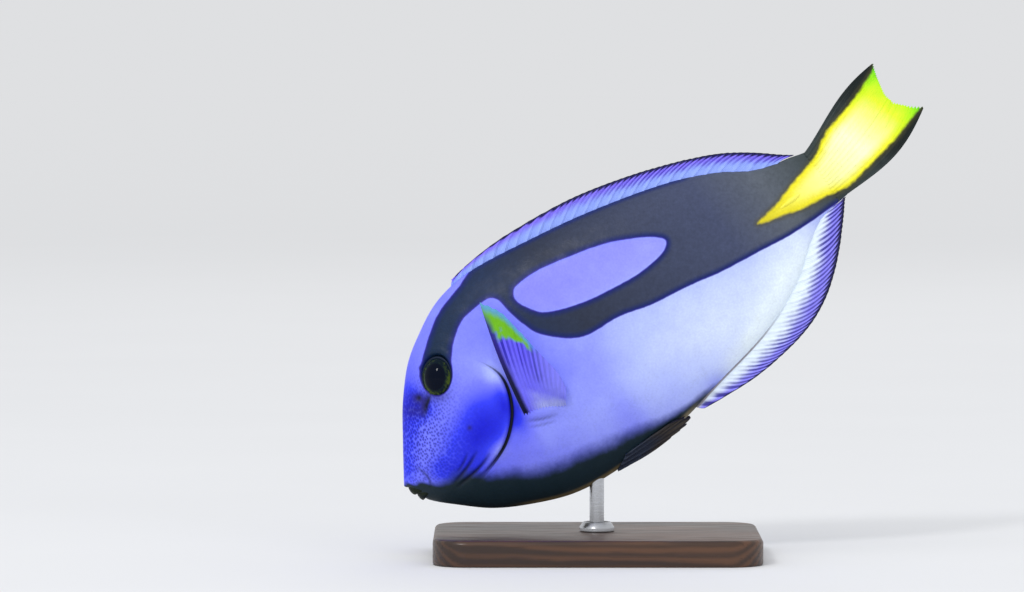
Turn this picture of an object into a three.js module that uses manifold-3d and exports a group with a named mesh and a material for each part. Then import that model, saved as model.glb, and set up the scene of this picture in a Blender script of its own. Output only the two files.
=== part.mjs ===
// A regal blue tang (Paracanthurus hepatus), life size, gliding nose-down with its fins half folded,
// held on one short rod above a flat display base.
// Millimetres, +Z up. The origin is the centre of the base's underside. The fish faces -X and its left
// side faces -Y.
//
// The fish is modelled level, in a frame of its own, and a group then pitches it nose-down:
//   x runs from the tip of the snout to the tail, z towards the back, and y towards the right flank.

import * as THREE from "three";
import { mergeVertices } from "three/addons/utils/BufferGeometryUtils.js";
import Module from "manifold-3d";

const wasm = await Module();
wasm.setup();

// Driving dimensions of the fish
const STALK_END = 182; // snout to the end of the tail stalk
const MUZZLE_X = 0.3; // first station of the body, over the upper lip
const PITCH = THREE.MathUtils.degToRad(36.5);
const GAP = 0.3; // between touching pieces
const CUT = 0.3; // width of the cuts that part the body
const BEND_START = 95; // the rear of the body curves away to the right from here
const BEND_RADIUS = 420;

// The stand
const BASE_LENGTH = 112;
const BASE_WIDTH = 80;
const BASE_HEIGHT = 9;
const BASE_CORNER = 12;
const BASE_CHAMFER = 1.6;
const ROD_RADIUS = 2.5;
const COLLAR_RADIUS = 6;
const COLLAR_HEIGHT = 3;
const CHIN_CLEARANCE = 8; // from the top of the base to the lowest point of the fish
const ROD_X = 54; // station of the belly that the rod carries

// A smooth curve through [position, value] pairs, given back as a function of the position.
function curveThrough(points) {
  const slope = (i) => {
    const before = points[Math.max(i - 1, 0)];
    const after = points[Math.min(i + 1, points.length - 1)];
    return (after[1] - before[1]) / (after[0] - before[0]);
  };
  return (x) => {
    let i = 0;
    while (i < points.length - 2 && x > points[i + 1][0]) i += 1;
    const [x0, y0] = points[i];
    const [x1, y1] = points[i + 1];
    const h = x1 - x0;
    const t = THREE.MathUtils.clamp((x - x0) / h, 0, 1);
    const t2 = t * t;
    const t3 = t2 * t;
    return (
      y0 * (2 * t3 - 3 * t2 + 1) +
      slope(i) * h * (t3 - 2 * t2 + t) +
      y1 * (3 * t2 - 2 * t3) +
      slope(i + 1) * h * (t3 - t2)
    );
  };
}

// The outline of the body in the side view, and half its width in the top view, by station. The front
// of the belly line is set back for the lips.
const back = curveThrough([
  [0.3, 0.5],
  [3, 4.4],
  [9, 12.9],
  [16.5, 23.1],
  [25, 32],
  [34, 38.3],
  [45, 43.8],
  [56, 46],
  [66, 45.7],
  [82, 43.2],
  [106, 38.4],
  [134, 30.3],
  [150, 23],
  [160, 16.4],
  [168, 12.5],
  [182, 9.6],
]);
const belly = curveThrough([
  [0.3, -0.4],
  [1.6, -2],
  [3, -6.2],
  [4.4, -9],
  [10, -14.9],
  [20, -24],
  [32, -31],
  [46, -36.7],
  [62, -38.9],
  [90, -38.7],
  [107, -35.6],
  [132, -31],
  [150, -24],
  [162, -15.8],
  [170, -11.6],
  [182, -10.2],
]);
const halfWidth = curveThrough([
  [0.3, 1],
  [1.4, 2.4],
  [3, 3.5],
  [9, 6],
  [17, 8.6],
  [28, 11.4],
  [42, 13.7],
  [58, 14.6],
  [78, 14.2],
  [98, 12.8],
  [118, 10.8],
  [138, 8.1],
  [154, 5.6],
  [166, 3.9],
  [176, 2.6],
  [182, 1.5],
]);
const WIDEST = 0.5; // share of the body's height at which it is widest
const SECTION_POWER = 1.82; // 2 is an ellipse, and less gives keener back and belly edges

const middleHeight = (x) => belly(x) + WIDEST * (back(x) - belly(x));

// How far the flank stands out from the middle plane at a station and height
function flank(x, z) {
  const middle = middleHeight(x);
  const reach = z > middle ? back(x) - middle : middle - belly(x);
  const share = Math.min(1, Math.abs(z - middle) / reach);
  return halfWidth(x) * (1 - share ** SECTION_POWER) ** (1 / SECTION_POWER);
}

// Puts a point of the straight fish on the curved one: y is measured square to the curved middle plane.
function curved(x, y, z) {
  const along = Math.max(0, x - BEND_START);
  const turn = Math.atan(along / BEND_RADIUS);
  return new THREE.Vector3(
    x - y * Math.sin(turn),
    (along * along) / (2 * BEND_RADIUS) + y * Math.cos(turn),
    z,
  );
}

// Turns a closed three.js geometry into a solid, and a solid back into a geometry.
function solidOf(geometry) {
  const bare = geometry.clone();
  bare.deleteAttribute("normal");
  bare.deleteAttribute("uv");
  const merged = mergeVertices(bare, 1e-4);
  return new wasm.Manifold(
    new wasm.Mesh({
      numProp: 3,
      vertProperties: merged.getAttribute("position").array,
      triVerts: new Uint32Array(merged.index.array),
    }),
  );
}
function geometryOf(solid) {
  const { numVert, numProp, vertProperties, triVerts } = solid.getMesh();
  const positions = new Float32Array(numVert * 3);
  for (let i = 0; i < numVert; i += 1) {
    positions.set(vertProperties.subarray(i * numProp, i * numProp + 3), i * 3);
  }
  const geometry = new THREE.BufferGeometry();
  geometry.setAttribute("position", new THREE.BufferAttribute(positions, 3));
  geometry.setIndex(new THREE.BufferAttribute(triVerts, 1));
  return geometry;
}

// The largest closed piece of a solid, which drops any loose scrap that a cut leaves
function largest(solid) {
  return solid
    .decompose()
    .reduce((best, piece) => (piece.volume() > best.volume() ? piece : best));
}

// A closed mesh from rings of points that all have the same number of points, with a point at each end
function closedRings(rings, first, last) {
  const count = rings[0].length;
  const points = [first, ...rings.flat(), last];
  const at = (ring, i) => 1 + ring * count + ((i + count) % count);
  const faces = [];
  for (let i = 0; i < count; i += 1) faces.push(0, at(0, i + 1), at(0, i));
  for (let ring = 0; ring < rings.length - 1; ring += 1) {
    for (let i = 0; i < count; i += 1) {
      faces.push(at(ring, i), at(ring, i + 1), at(ring + 1, i));
      faces.push(at(ring, i + 1), at(ring + 1, i + 1), at(ring + 1, i));
    }
  }
  const end = points.length - 1;
  const tail = rings.length - 1;
  for (let i = 0; i < count; i += 1)
    faces.push(end, at(tail, i), at(tail, i + 1));
  const geometry = new THREE.BufferGeometry().setFromPoints(points);
  geometry.setIndex(faces);
  return geometry;
}

// The whole body from muzzle to tail stalk, grown outwards by a margin
const BODY_RINGS = 42;
const RING_POINTS = 32;
const RING_CROWDING = 1.4; // above 1 sets the rings closer together towards the snout
const MUZZLE_TIP = 0.2; // from the first ring to the point that closes it
const STALK_TIP = 1.2;
function bodyGeometry(grow) {
  const rings = [];
  for (let k = 0; k < BODY_RINGS; k += 1) {
    const share = (k / (BODY_RINGS - 1)) ** RING_CROWDING;
    const x = THREE.MathUtils.lerp(MUZZLE_X, STALK_END, share);
    const middle = middleHeight(x);
    const ring = [];
    for (let i = 0; i < RING_POINTS; i += 1) {
      const angle = (i / RING_POINTS) * 2 * Math.PI;
      const across = Math.cos(angle);
      const up = Math.sin(angle);
      const reach = up > 0 ? back(x) - middle : middle - belly(x);
      const round = 2 / SECTION_POWER;
      ring.push(
        curved(
          x,
          Math.sign(across) * Math.abs(across) ** round * halfWidth(x),
          middle + Math.sign(up) * Math.abs(up) ** round * reach,
        ),
      );
    }
    rings.push(ring);
  }
  const front = curved(MUZZLE_X - MUZZLE_TIP, 0, middleHeight(MUZZLE_X));
  const end = curved(STALK_END + STALK_TIP, 0, middleHeight(STALK_END));
  const geometry = closedRings(rings, front, end);
  geometry.computeVertexNormals();
  const position = geometry.getAttribute("position");
  const normal = geometry.getAttribute("normal");
  for (let i = 0; i < position.count; i += 1) {
    position.setXYZ(
      i,
      position.getX(i) + grow * normal.getX(i),
      position.getY(i) + grow * normal.getY(i),
      position.getZ(i) + grow * normal.getZ(i),
    );
  }
  return geometry;
}
const body = solidOf(bodyGeometry(0));
const bodyClearance = solidOf(bodyGeometry(GAP));

// A prism square to the side view, from an outline of [x, z] points, between two values of y
function sidePrism(outline, fromY, toY) {
  const shape = new THREE.Shape(outline.map(([x, z]) => new THREE.Vector2(x, z)));
  const geometry = new THREE.ExtrudeGeometry(shape, {
    depth: toY - fromY,
    bevelEnabled: false,
  });
  geometry.rotateX(Math.PI / 2); // the outline's second axis becomes z, and the depth runs to -y
  geometry.translate(0, toY, 0);
  return solidOf(geometry);
}

// The same outline moved outwards all round by a distance, with its sharp corners kept short
function grownOutline(outline, distance) {
  const points = outline.map(([x, z]) => new THREE.Vector2(x, z));
  const way = THREE.ShapeUtils.isClockWise(points) ? -1 : 1;
  const count = points.length;
  const outwardOf = (p, q) =>
    new THREE.Vector2(q.y - p.y, p.x - q.x).normalize().multiplyScalar(way);
  return points.map((point, i) => {
    const before = outwardOf(points[(i + count - 1) % count], point);
    const after = outwardOf(point, points[(i + 1) % count]);
    const mean = before.clone().add(after).normalize();
    mean.multiplyScalar(distance / Math.max(0.5, mean.dot(before)));
    return [point.x + mean.x, point.y + mean.y];
  });
}
const sampled = (points, steps) =>
  new THREE.SplineCurve(points.map(([x, z]) => new THREE.Vector2(x, z)))
    .getSpacedPoints(steps)
    .map((p) => [p.x, p.y]);

// The line between head and torso: from the nape down behind the gill cover to the throat
const FAR = 80; // beyond the fish on every side
const gillEdge = sampled(
  [
    [43.5, 25.5],
    [48.2, 18.5],
    [50.2, 11.8],
    [48.6, 4.6],
    [44.6, -2.2],
    [37.6, -8.2],
    [28.5, -12],
    [20, -14.2],
  ],
  16,
);
const headEdge = [[54, FAR], [50.5, 44], [45.5, 33], ...gillEdge, [17, -FAR]];
const frontOfHeadEdge = [...headEdge, [-FAR, -FAR], [-FAR, FAR]];
const behindHeadEdge = [
  ...headEdge.map(([x, z]) => [x + CUT, z - CUT]),
  [3 * FAR, -FAR],
  [3 * FAR, FAR],
];

// The gill cover: a plate between the edge of the cheek and the gill opening
const cheekEdge = sampled(
  [
    [20.5, -13.8],
    [24.5, -6.5],
    [30.2, 2],
    [34.2, 11.5],
    [38, 20],
    [43, 25.2],
  ],
  10,
);
const GILL_RAISED = 0.7; // proud of the head
const GILL_DEPTH = 1.3; // let into the head
function gillPlate(side) {
  const [fromY, toY] = side < 0 ? [-FAR, 0] : [0, FAR];
  const prism = sidePrism([...gillEdge, ...cheekEdge.slice(0, -1)], fromY, toY);
  const outer = solidOf(bodyGeometry(GILL_RAISED));
  const core = solidOf(bodyGeometry(-GILL_DEPTH));
  return largest(outer.intersect(prism).subtract(core));
}
function gillRecess(side) {
  const [fromY, toY] = side < 0 ? [-FAR, 0] : [0, FAR];
  const outline = [...gillEdge, ...cheekEdge.slice(0, -1)];
  const prism = sidePrism(grownOutline(outline, GAP), fromY, toY);
  return prism.subtract(solidOf(bodyGeometry(-GILL_DEPTH - GAP)));
}

// An egg-shaped solid with its short axis along a direction
function lens(centre, direction, radius, depth, segments) {
  const geometry = new THREE.SphereGeometry(1, segments, Math.round(segments * 0.6));
  geometry.rotateX(Math.PI / 2); // the poles along z, which is the short axis
  geometry.scale(radius, radius, depth);
  const turn = new THREE.Quaternion().setFromUnitVectors(
    new THREE.Vector3(0, 0, 1),
    direction,
  );
  geometry.applyQuaternion(turn);
  geometry.translate(centre.x, centre.y, centre.z);
  return solidOf(geometry);
}

// Outward direction of the skin at a station and height, on one side
function outward(x, z, side) {
  const step = 1;
  const slopeX = (flank(x + step, z) - flank(x - step, z)) / (2 * step);
  const slopeZ = (flank(x, z + step) - flank(x, z - step)) / (2 * step);
  return new THREE.Vector3(-slopeX, side, -slopeZ).normalize();
}
const onSkin = (x, z, side) => new THREE.Vector3(x, side * flank(x, z), z);

// The eyes
const EYE_X = 31.8;
const EYE_Z = 24;
const EYE_RADIUS = 6.6;
const EYE_DEPTH = 4.4;
const EYE_SUNK = 2.2; // the eye's centre below the skin
const RIM_RADIUS = 6.4;
const RIM_THICKNESS = 0.75;
const RIM_SUNK = 0.15; // the middle of the rim below the skin
function eyeCentre(side) {
  return onSkin(EYE_X, EYE_Z, side).addScaledVector(
    outward(EYE_X, EYE_Z, side),
    -EYE_SUNK,
  );
}
function eyeball(side, grow) {
  return lens(
    eyeCentre(side),
    outward(EYE_X, EYE_Z, side),
    EYE_RADIUS + grow,
    EYE_DEPTH + grow,
    20,
  );
}
function orbitRim(side) {
  const geometry = new THREE.TorusGeometry(RIM_RADIUS, RIM_THICKNESS, 6, 20);
  const direction = outward(EYE_X, EYE_Z, side);
  geometry.applyQuaternion(
    new THREE.Quaternion().setFromUnitVectors(
      new THREE.Vector3(0, 0, 1),
      direction,
    ),
  );
  const centre = onSkin(EYE_X, EYE_Z, side).addScaledVector(
    direction,
    -RIM_SUNK,
  );
  geometry.translate(centre.x, centre.y, centre.z);
  return solidOf(geometry);
}

// Two nostrils on each side, in front of the eye
const NOSTRILS = [
  { x: 22.4, z: 21.8, radius: 1 },
  { x: 22.6, z: 18, radius: 0.7 },
];
const NOSTRIL_DEPTH = 1.2;

// The lips: two arcs round the front of the muzzle, with the line of the mouth open between them
const MOUTH_HALF_WIDTH = 3.4;
const upperLip = { front: 1.1, length: 2.8, height: -2.3, radius: 1.95, corner: -4.6 };
const lowerLip = { front: 2.1, length: 2.4, height: -6.4, radius: 1.75, corner: -6.6 };
const LIP_SWELL = 0.42; // how far a lip swells forwards, as a share of half its height
const LIP_SUNK = 1.1; // how far it reaches back into the muzzle, as the same share
const LIP_TAPER = 0.4; // share of a lip's radius left at the corner of the mouth
const LIP_STEPS = 14;
const LIP_SIDES = 10;
function lip({ front, length, height, radius, corner }) {
  const rings = [];
  for (let k = 0; k <= LIP_STEPS; k += 1) {
    const turn = ((k / LIP_STEPS) * 2 - 1) * (Math.PI / 2);
    const frontness = Math.max(0, Math.cos(turn));
    const thickness = radius * (LIP_TAPER + (1 - LIP_TAPER) * frontness ** 0.7);
    const centre = new THREE.Vector3(
      front + length * (1 - frontness),
      MOUTH_HALF_WIDTH * Math.sin(turn),
      THREE.MathUtils.lerp(corner, height, frontness ** 0.8),
    );
    const sideways = new THREE.Vector3(-frontness, Math.sin(turn), 0);
    const ring = [];
    for (let i = 0; i < LIP_SIDES; i += 1) {
      const angle = (i / LIP_SIDES) * 2 * Math.PI;
      const reach = Math.cos(angle) > 0 ? LIP_SWELL : LIP_SUNK;
      ring.push(
        centre
          .clone()
          .addScaledVector(sideways, reach * thickness * Math.cos(angle))
          .add(new THREE.Vector3(0, 0, thickness * Math.sin(angle))),
      );
    }
    rings.push(ring);
  }
  const middleOf = (ring) =>
    ring
      .reduce((sum, p) => sum.add(p), new THREE.Vector3())
      .divideScalar(ring.length);
  return solidOf(
    closedRings(rings, middleOf(rings[0]), middleOf(rings[LIP_STEPS])),
  );
}

// A thin fin as one closed solid. surface(a, b) gives its middle surface: a runs from the first ray to
// the last and b from root to tip. Each ray stands up as a ridge on both faces, and its tip reaches a
// little past the membrane. The first few rays can be stouter spines.
const MEMBRANE = 0.6;
const RAY_TIP = 0.85;
const RAY_WIDTH = 0.5; // share of the space between two rays that a ridge takes
const FLESHY_PART = 0.25; // share of the height over which a fleshy root thins out
function fin({
  surface,
  rays,
  rows,
  rayThickness,
  spines = 0,
  spineThickness = rayThickness,
  fleshy = 0,
  scallop = 0,
}) {
  const foot = RAY_WIDTH / 2 / (rays - 1);
  const columns = [];
  for (let ray = 0; ray < rays; ray += 1) {
    const a = ray / (rays - 1);
    const thickness = ray < spines ? spineThickness : rayThickness;
    if (ray > 0) columns.push({ a: a - foot, thickness: MEMBRANE, reach: 1 - scallop });
    columns.push({ a, thickness, reach: 1 });
    if (ray < rays - 1) columns.push({ a: a + foot, thickness: MEMBRANE, reach: 1 - scallop });
  }
  const step = 0.002;
  const clamp = THREE.MathUtils.clamp;
  const squareTo = (a, b) => {
    const alongA = surface(clamp(a + step, 0, 1), b).sub(
      surface(clamp(a - step, 0, 1), b),
    );
    const alongB = surface(a, clamp(b + step, 0, 1)).sub(
      surface(a, clamp(b - step, 0, 1)),
    );
    return alongA.cross(alongB).normalize();
  };
  const faces = [[], []];
  for (let row = 0; row <= rows; row += 1) {
    for (const { a, thickness, reach } of columns) {
      const b = (row / rows) * reach;
      const flesh = fleshy * Math.max(0, 1 - b / FLESHY_PART) ** 1.5;
      const tapered = Math.min(thickness, THREE.MathUtils.lerp(thickness, RAY_TIP, b));
      const half = (tapered + flesh) / 2;
      const normal = squareTo(a, b);
      faces[0].push(surface(a, b).addScaledVector(normal, half));
      faces[1].push(surface(a, b).addScaledVector(normal, -half));
    }
  }
  const width = columns.length;
  const size = faces[0].length;
  const index = [];
  const quad = (p, q, r, s) => index.push(p, q, r, p, r, s);
  for (let row = 0; row < rows; row += 1) {
    for (let i = 0; i < width - 1; i += 1) {
      const p = row * width + i;
      quad(p, p + 1, p + 1 + width, p + width);
      // the other face, split along the same diagonal
      const o = p + size;
      index.push(o, o + 1 + width, o + 1);
      index.push(o, o + width, o + 1 + width);
    }
  }
  const wall = (p, q) => quad(p, q, q + size, p + size);
  for (let i = 0; i < width - 1; i += 1) {
    wall(i + 1, i);
    wall(rows * width + i, rows * width + i + 1);
  }
  for (let row = 0; row < rows; row += 1) {
    wall(row * width, (row + 1) * width);
    wall((row + 1) * width + width - 1, row * width + width - 1);
  }
  const geometry = new THREE.BufferGeometry().setFromPoints(faces.flat());
  geometry.setIndex(index);
  const solid = solidOf(geometry);
  if (solid.volume() > 0) return solid;
  geometry.setIndex(index.reverse()); // the surface was given the other way round
  return solidOf(geometry);
}

// The dorsal and anal fins: swept rays from a root line on the body to an outer edge. The rays arch
// outwards by endBow at both ends of the fin and by bow in its middle.
const ROOT_SUNK = 1.6;
const dorsalEdge = curveThrough([
  [54, 46.6],
  [61, 48.2],
  [72, 48.9],
  [84, 48.3],
  [104, 45.7],
  [124, 40.4],
  [142, 33.8],
  [156, 26.9],
  [165, 20.4],
  [172, 14.4],
  [176, 11.2],
]);
const analEdge = curveThrough([
  [95, -39.2],
  [106, -40.6],
  [120, -41.6],
  [134, -40.6],
  [146, -38.2],
  [156, -33.6],
  [165, -27],
  [173, -19.4],
  [181, -10.6],
]);
const DORSAL = { rootFrom: 53, rootTo: 163, tipFrom: 56, tipTo: 175.6, endBow: 0.9, bow: 0.9 };
const ANAL = { rootFrom: 96, rootTo: 171, tipFrom: 99, tipTo: 181, endBow: 0.5, bow: 2.6 };
const SWEEP = 8; // how much further back the middle rays reach
const DORSAL_SPINES = 9;
const DORSAL_RAYS = 28; // spines and soft rays together
const ANAL_SPINES = 3;
const ANAL_RAYS = 21; // spines and soft rays together
function sweptFin(line, rootLine, edge, outwardSign) {
  return (a, b) => {
    const rootX = THREE.MathUtils.lerp(line.rootFrom, line.rootTo, a);
    const swept = SWEEP * Math.sin(Math.PI * a) ** 0.8;
    const tipX = THREE.MathUtils.lerp(line.tipFrom, line.tipTo, a) + swept;
    const rootZ = rootLine(rootX) - outwardSign * ROOT_SUNK;
    const x = THREE.MathUtils.lerp(rootX, tipX, b);
    const z = THREE.MathUtils.lerp(rootZ, edge(tipX), b);
    const arch = THREE.MathUtils.lerp(line.endBow, line.bow, Math.sin(Math.PI * a));
    return curved(x, 0, z + outwardSign * arch * Math.sin(Math.PI * b));
  };
}

// The tail fin: a half-folded fan with long corners
const TAIL_ROOT_X = 178;
const TAIL_ROOT_INSET = 0.4; // from the stalk's edges to the first and last ray
const TAIL_RAYS = 16;
const lowerTip = { x: 222, z: -2 };
const upperTip = { x: 216.6, z: 20.6 };
const NOTCH_X = 213.6; // the shortest rays
const LOWER_CORNER = 0.42; // share of the rays, from below, that lengthen towards the lower corner
const UPPER_CORNER = 0.5; // and towards the upper one
const LOWER_FLARE = 3.7; // how far the edges of the fan bow outwards
const UPPER_FLARE = 2.6;
function tailSurface(a, b) {
  const lowRoot = belly(TAIL_ROOT_X) + TAIL_ROOT_INSET;
  const highRoot = back(TAIL_ROOT_X) - TAIL_ROOT_INSET;
  const rootZ = THREE.MathUtils.lerp(lowRoot, highRoot, a);
  const low = Math.max(0, 1 - a / LOWER_CORNER) ** 1.6;
  const high = Math.max(0, 1 - (1 - a) / UPPER_CORNER) ** 1.8;
  const tipX = NOTCH_X + (lowerTip.x - NOTCH_X) * low + (upperTip.x - NOTCH_X) * high;
  const tipZ = THREE.MathUtils.lerp(lowerTip.z, upperTip.z, a);
  const flare = THREE.MathUtils.lerp(-LOWER_FLARE, UPPER_FLARE, a) * Math.sin(Math.PI * b ** 1.3);
  const x = THREE.MathUtils.lerp(TAIL_ROOT_X, tipX, b);
  const z = THREE.MathUtils.lerp(rootZ, tipZ, b ** 1.15) + flare;
  return curved(x, 0, z);
}

// The pectoral fins: raised along the flank and turned half edge-on
const PECTORAL_RAYS = 15;
const pectoralRoot = { front: [48.5, -4.4], rear: [62, -9.3] };
const PECTORAL_SUNK = 1.2; // its root below the skin
const PECTORAL_BOW = 1; // how far the rays bow forwards
const PECTORAL_BULGE = 2.6; // how far they bow off the flank
const pectoralTips = new THREE.CatmullRomCurve3(
  [
    [59.2, 36.2, 7.5],
    [62.8, 29.5, 9],
    [64.2, 20.2, 9.8],
    [65.3, 10, 9],
    [66.2, 1.8, 7.4],
    [65.4, -4.4, 5.4],
  ].map(([x, z, out]) => new THREE.Vector3(x, out, z)),
);
function pectoralSurface(side) {
  return (a, b) => {
    const x = THREE.MathUtils.lerp(pectoralRoot.front[0], pectoralRoot.rear[0], a);
    const z = THREE.MathUtils.lerp(pectoralRoot.front[1], pectoralRoot.rear[1], a);
    const root = onSkin(x, z, 1);
    root.y -= PECTORAL_SUNK;
    const tip = pectoralTips.getPoint(a);
    tip.y += root.y;
    const point = root.lerp(tip, b);
    point.x -= PECTORAL_BOW * (1 - a) * Math.sin(Math.PI * b);
    point.y += PECTORAL_BULGE * Math.sin(Math.PI * b ** 0.7);
    point.y *= side;
    return point;
  };
}

// The pelvic fins: narrow blades folded back against the belly
const PELVIC_RAYS = 4;
const pelvicRoot = { low: [62.6, -38.6], high: [68, -36] };
const pelvicTips = new THREE.CatmullRomCurve3(
  [
    [84, -40.6, 1.2],
    [92.5, -40, 2.2],
    [93.5, -38.2, 3.6],
    [88, -36.4, 5.4],
  ].map(([x, z, out]) => new THREE.Vector3(x, out, z)),
);
const PELVIC_BOW = 0.8;
const PELVIC_SUNK = 0.4;
function pelvicSurface(side) {
  return (a, b) => {
    const x = THREE.MathUtils.lerp(pelvicRoot.low[0], pelvicRoot.high[0], a);
    const z = THREE.MathUtils.lerp(pelvicRoot.low[1], pelvicRoot.high[1], a);
    const root = onSkin(x, z, 1);
    root.y -= PELVIC_SUNK;
    const point = root.lerp(pelvicTips.getPoint(a), b);
    point.y += PELVIC_BOW * Math.sin(Math.PI * b);
    point.z -= PELVIC_BOW * Math.sin(Math.PI * b) * (1 - a);
    point.y *= side;
    return point;
  };
}

// The blade on each side of the tail stalk, folded forward into its groove
const BLADE_X = 164;
const BLADE_LENGTH = 9;
const BLADE_HEIGHT = 2;
const BLADE_PROUD = 0.9;
const BLADE_SUNK = 0.6; // more of its thickness inside the skin than outside
function stalkBlade(side) {
  const z = middleHeight(BLADE_X);
  const geometry = new THREE.SphereGeometry(1, 14, 8);
  geometry.scale(BLADE_LENGTH / 2, BLADE_PROUD + BLADE_SUNK, BLADE_HEIGHT / 2);
  const along = Math.max(0, BLADE_X - BEND_START) / BEND_RADIUS;
  const end = BLADE_LENGTH / 2;
  const narrowing = (flank(BLADE_X - end, z) - flank(BLADE_X + end, z)) / BLADE_LENGTH;
  geometry.rotateZ(Math.atan(along) - side * Math.atan(narrowing));
  const centre = curved(BLADE_X, side * (flank(BLADE_X, z) - 0.2), z);
  geometry.translate(centre.x, centre.y, centre.z);
  return solidOf(geometry);
}

// Materials, one for each finish
const finish = (color, roughness, metalness = 0) =>
  new THREE.MeshStandardMaterial({ color, roughness, metalness });
const skinBlue = finish(0x4a5bf2, 0.35);
const flankBlue = finish(0x8f9cff, 0.35);
const bandBlack = finish(0x262b40, 0.4);
const tailYellow = finish(0xffe92a, 0.4);
const finViolet = finish(0x6a66f0, 0.4);
const lipOlive = finish(0x23282a, 0.45);
const eyeDark = finish(0x0b0f14, 0.08);
const baseWood = finish(0x3b2415, 0.5);
const rodSteel = finish(0xb9bcc0, 0.3, 1);

const part = new THREE.Group();
const fish = new THREE.Group();
part.add(fish);
function addNode(parent, name, solid, material) {
  const mesh = new THREE.Mesh(geometryOf(solid), material);
  mesh.name = name;
  parent.add(mesh);
}

// The fish hangs over the base so that its lowest point clears the base, with the rod at the origin.
fish.rotation.y = -PITCH;
const rodTop = new THREE.Vector3(ROD_X, 0, belly(ROD_X)).applyEuler(fish.rotation);
const bodyBox = new THREE.Box3().setFromBufferAttribute(
  bodyGeometry(0).applyMatrix4(new THREE.Matrix4().makeRotationY(-PITCH)).attributes.position,
);
fish.position.set(-rodTop.x, 0, BASE_HEIGHT + CHIN_CLEARANCE - bodyBox.min.z);
fish.updateMatrixWorld(true);

// Head, torso and tail stalk, parted by thin cuts
const STALK_CUT = 152; // at the middle of the body's height
const STALK_LEAN = 5; // the cut leans forward by this much over the body's half height
const stalkRegion = sidePrism(
  [
    [STALK_CUT - STALK_LEAN, FAR],
    [STALK_CUT + STALK_LEAN, -FAR],
    [3 * FAR, -FAR],
    [3 * FAR, FAR],
  ],
  -FAR,
  FAR,
);
const beforeStalk = sidePrism(
  [
    [STALK_CUT - STALK_LEAN - CUT, FAR],
    [-FAR, FAR],
    [-FAR, -FAR],
    [STALK_CUT + STALK_LEAN - CUT, -FAR],
  ],
  -FAR,
  FAR,
);
let head = body.intersect(sidePrism(frontOfHeadEdge, -FAR, FAR));
let torso = body
  .intersect(sidePrism(behindHeadEdge, -FAR, FAR))
  .intersect(beforeStalk);
for (const side of [-1, 1]) {
  head = head.subtract(gillRecess(side));
  head = head.add(orbitRim(side)).subtract(eyeball(side, GAP));
  for (const { x, z, radius } of NOSTRILS) {
    head = head.subtract(
      lens(onSkin(x, z, side), outward(x, z, side), radius, NOSTRIL_DEPTH, 8),
    );
  }
}
torso = torso.subtract(gillRecess(-1)).subtract(gillRecess(1));
addNode(fish, "head", largest(head), skinBlue);
addNode(fish, "torso", largest(torso), flankBlue);
addNode(fish, "tail_stalk", largest(body.intersect(stalkRegion)), bandBlack);

const upperLipSolid = lip(upperLip).subtract(bodyClearance);
addNode(fish, "upper_lip", largest(upperLipSolid), lipOlive);
addNode(fish, "lower_lip", largest(lip(lowerLip).subtract(bodyClearance)), lipOlive);

const medianFin = (shape) => largest(fin(shape).subtract(bodyClearance));
addNode(
  fish,
  "dorsal_fin",
  medianFin({
    surface: sweptFin(DORSAL, back, dorsalEdge, 1),
    rays: DORSAL_RAYS,
    rows: 3,
    rayThickness: 1.2,
    spines: DORSAL_SPINES,
    spineThickness: 1.6,
    scallop: 0.04,
  }),
  finViolet,
);
addNode(
  fish,
  "anal_fin",
  medianFin({
    surface: sweptFin(ANAL, belly, analEdge, -1),
    rays: ANAL_RAYS,
    rows: 3,
    rayThickness: 1.2,
    spines: ANAL_SPINES,
    spineThickness: 1.6,
    scallop: 0.03,
  }),
  finViolet,
);
addNode(
  fish,
  "tail_fin",
  medianFin({
    surface: tailSurface,
    rays: TAIL_RAYS,
    rows: 6,
    rayThickness: 1.6,
    scallop: 0.01,
  }),
  tailYellow,
);

for (const [sideName, side] of [
  ["left", -1],
  ["right", 1],
]) {
  const cover = gillPlate(side);
  addNode(fish, "gill_cover_" + sideName, cover, skinBlue);
  addNode(fish, "eye_" + sideName, eyeball(side, 0), eyeDark);
  const pectoral = fin({
    surface: pectoralSurface(side),
    rays: PECTORAL_RAYS,
    rows: 5,
    rayThickness: 1.2,
    fleshy: 2,
  });
  addNode(
    fish,
    "pectoral_fin_" + sideName,
    largest(pectoral.subtract(bodyClearance)),
    finViolet,
  );
  const pelvic = fin({
    surface: pelvicSurface(side),
    rays: PELVIC_RAYS,
    rows: 4,
    rayThickness: 1.3,
    fleshy: 0.8,
  });
  addNode(
    fish,
    "pelvic_fin_" + sideName,
    largest(pelvic.subtract(bodyClearance)),
    finViolet,
  );
  addNode(
    fish,
    "stalk_blade_" + sideName,
    largest(stalkBlade(side).subtract(bodyClearance)),
    tailYellow,
  );
}

// The stand: a flat base with a chamfered edge, a collar and the rod
function standBase() {
  const x = BASE_LENGTH / 2 - BASE_CHAMFER;
  const y = BASE_WIDTH / 2 - BASE_CHAMFER;
  const r = BASE_CORNER - BASE_CHAMFER;
  const shape = new THREE.Shape();
  shape.absarc(x - r, y - r, r, 0, Math.PI / 2);
  shape.absarc(-x + r, y - r, r, Math.PI / 2, Math.PI);
  shape.absarc(-x + r, -y + r, r, Math.PI, 1.5 * Math.PI);
  shape.absarc(x - r, -y + r, r, 1.5 * Math.PI, 2 * Math.PI);
  const geometry = new THREE.ExtrudeGeometry(shape, {
    depth: BASE_HEIGHT - 2 * BASE_CHAMFER,
    bevelThickness: BASE_CHAMFER,
    bevelSize: BASE_CHAMFER,
    bevelSegments: 1,
    curveSegments: 6,
  });
  geometry.translate(0, 0, BASE_CHAMFER);
  return solidOf(geometry);
}
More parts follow.
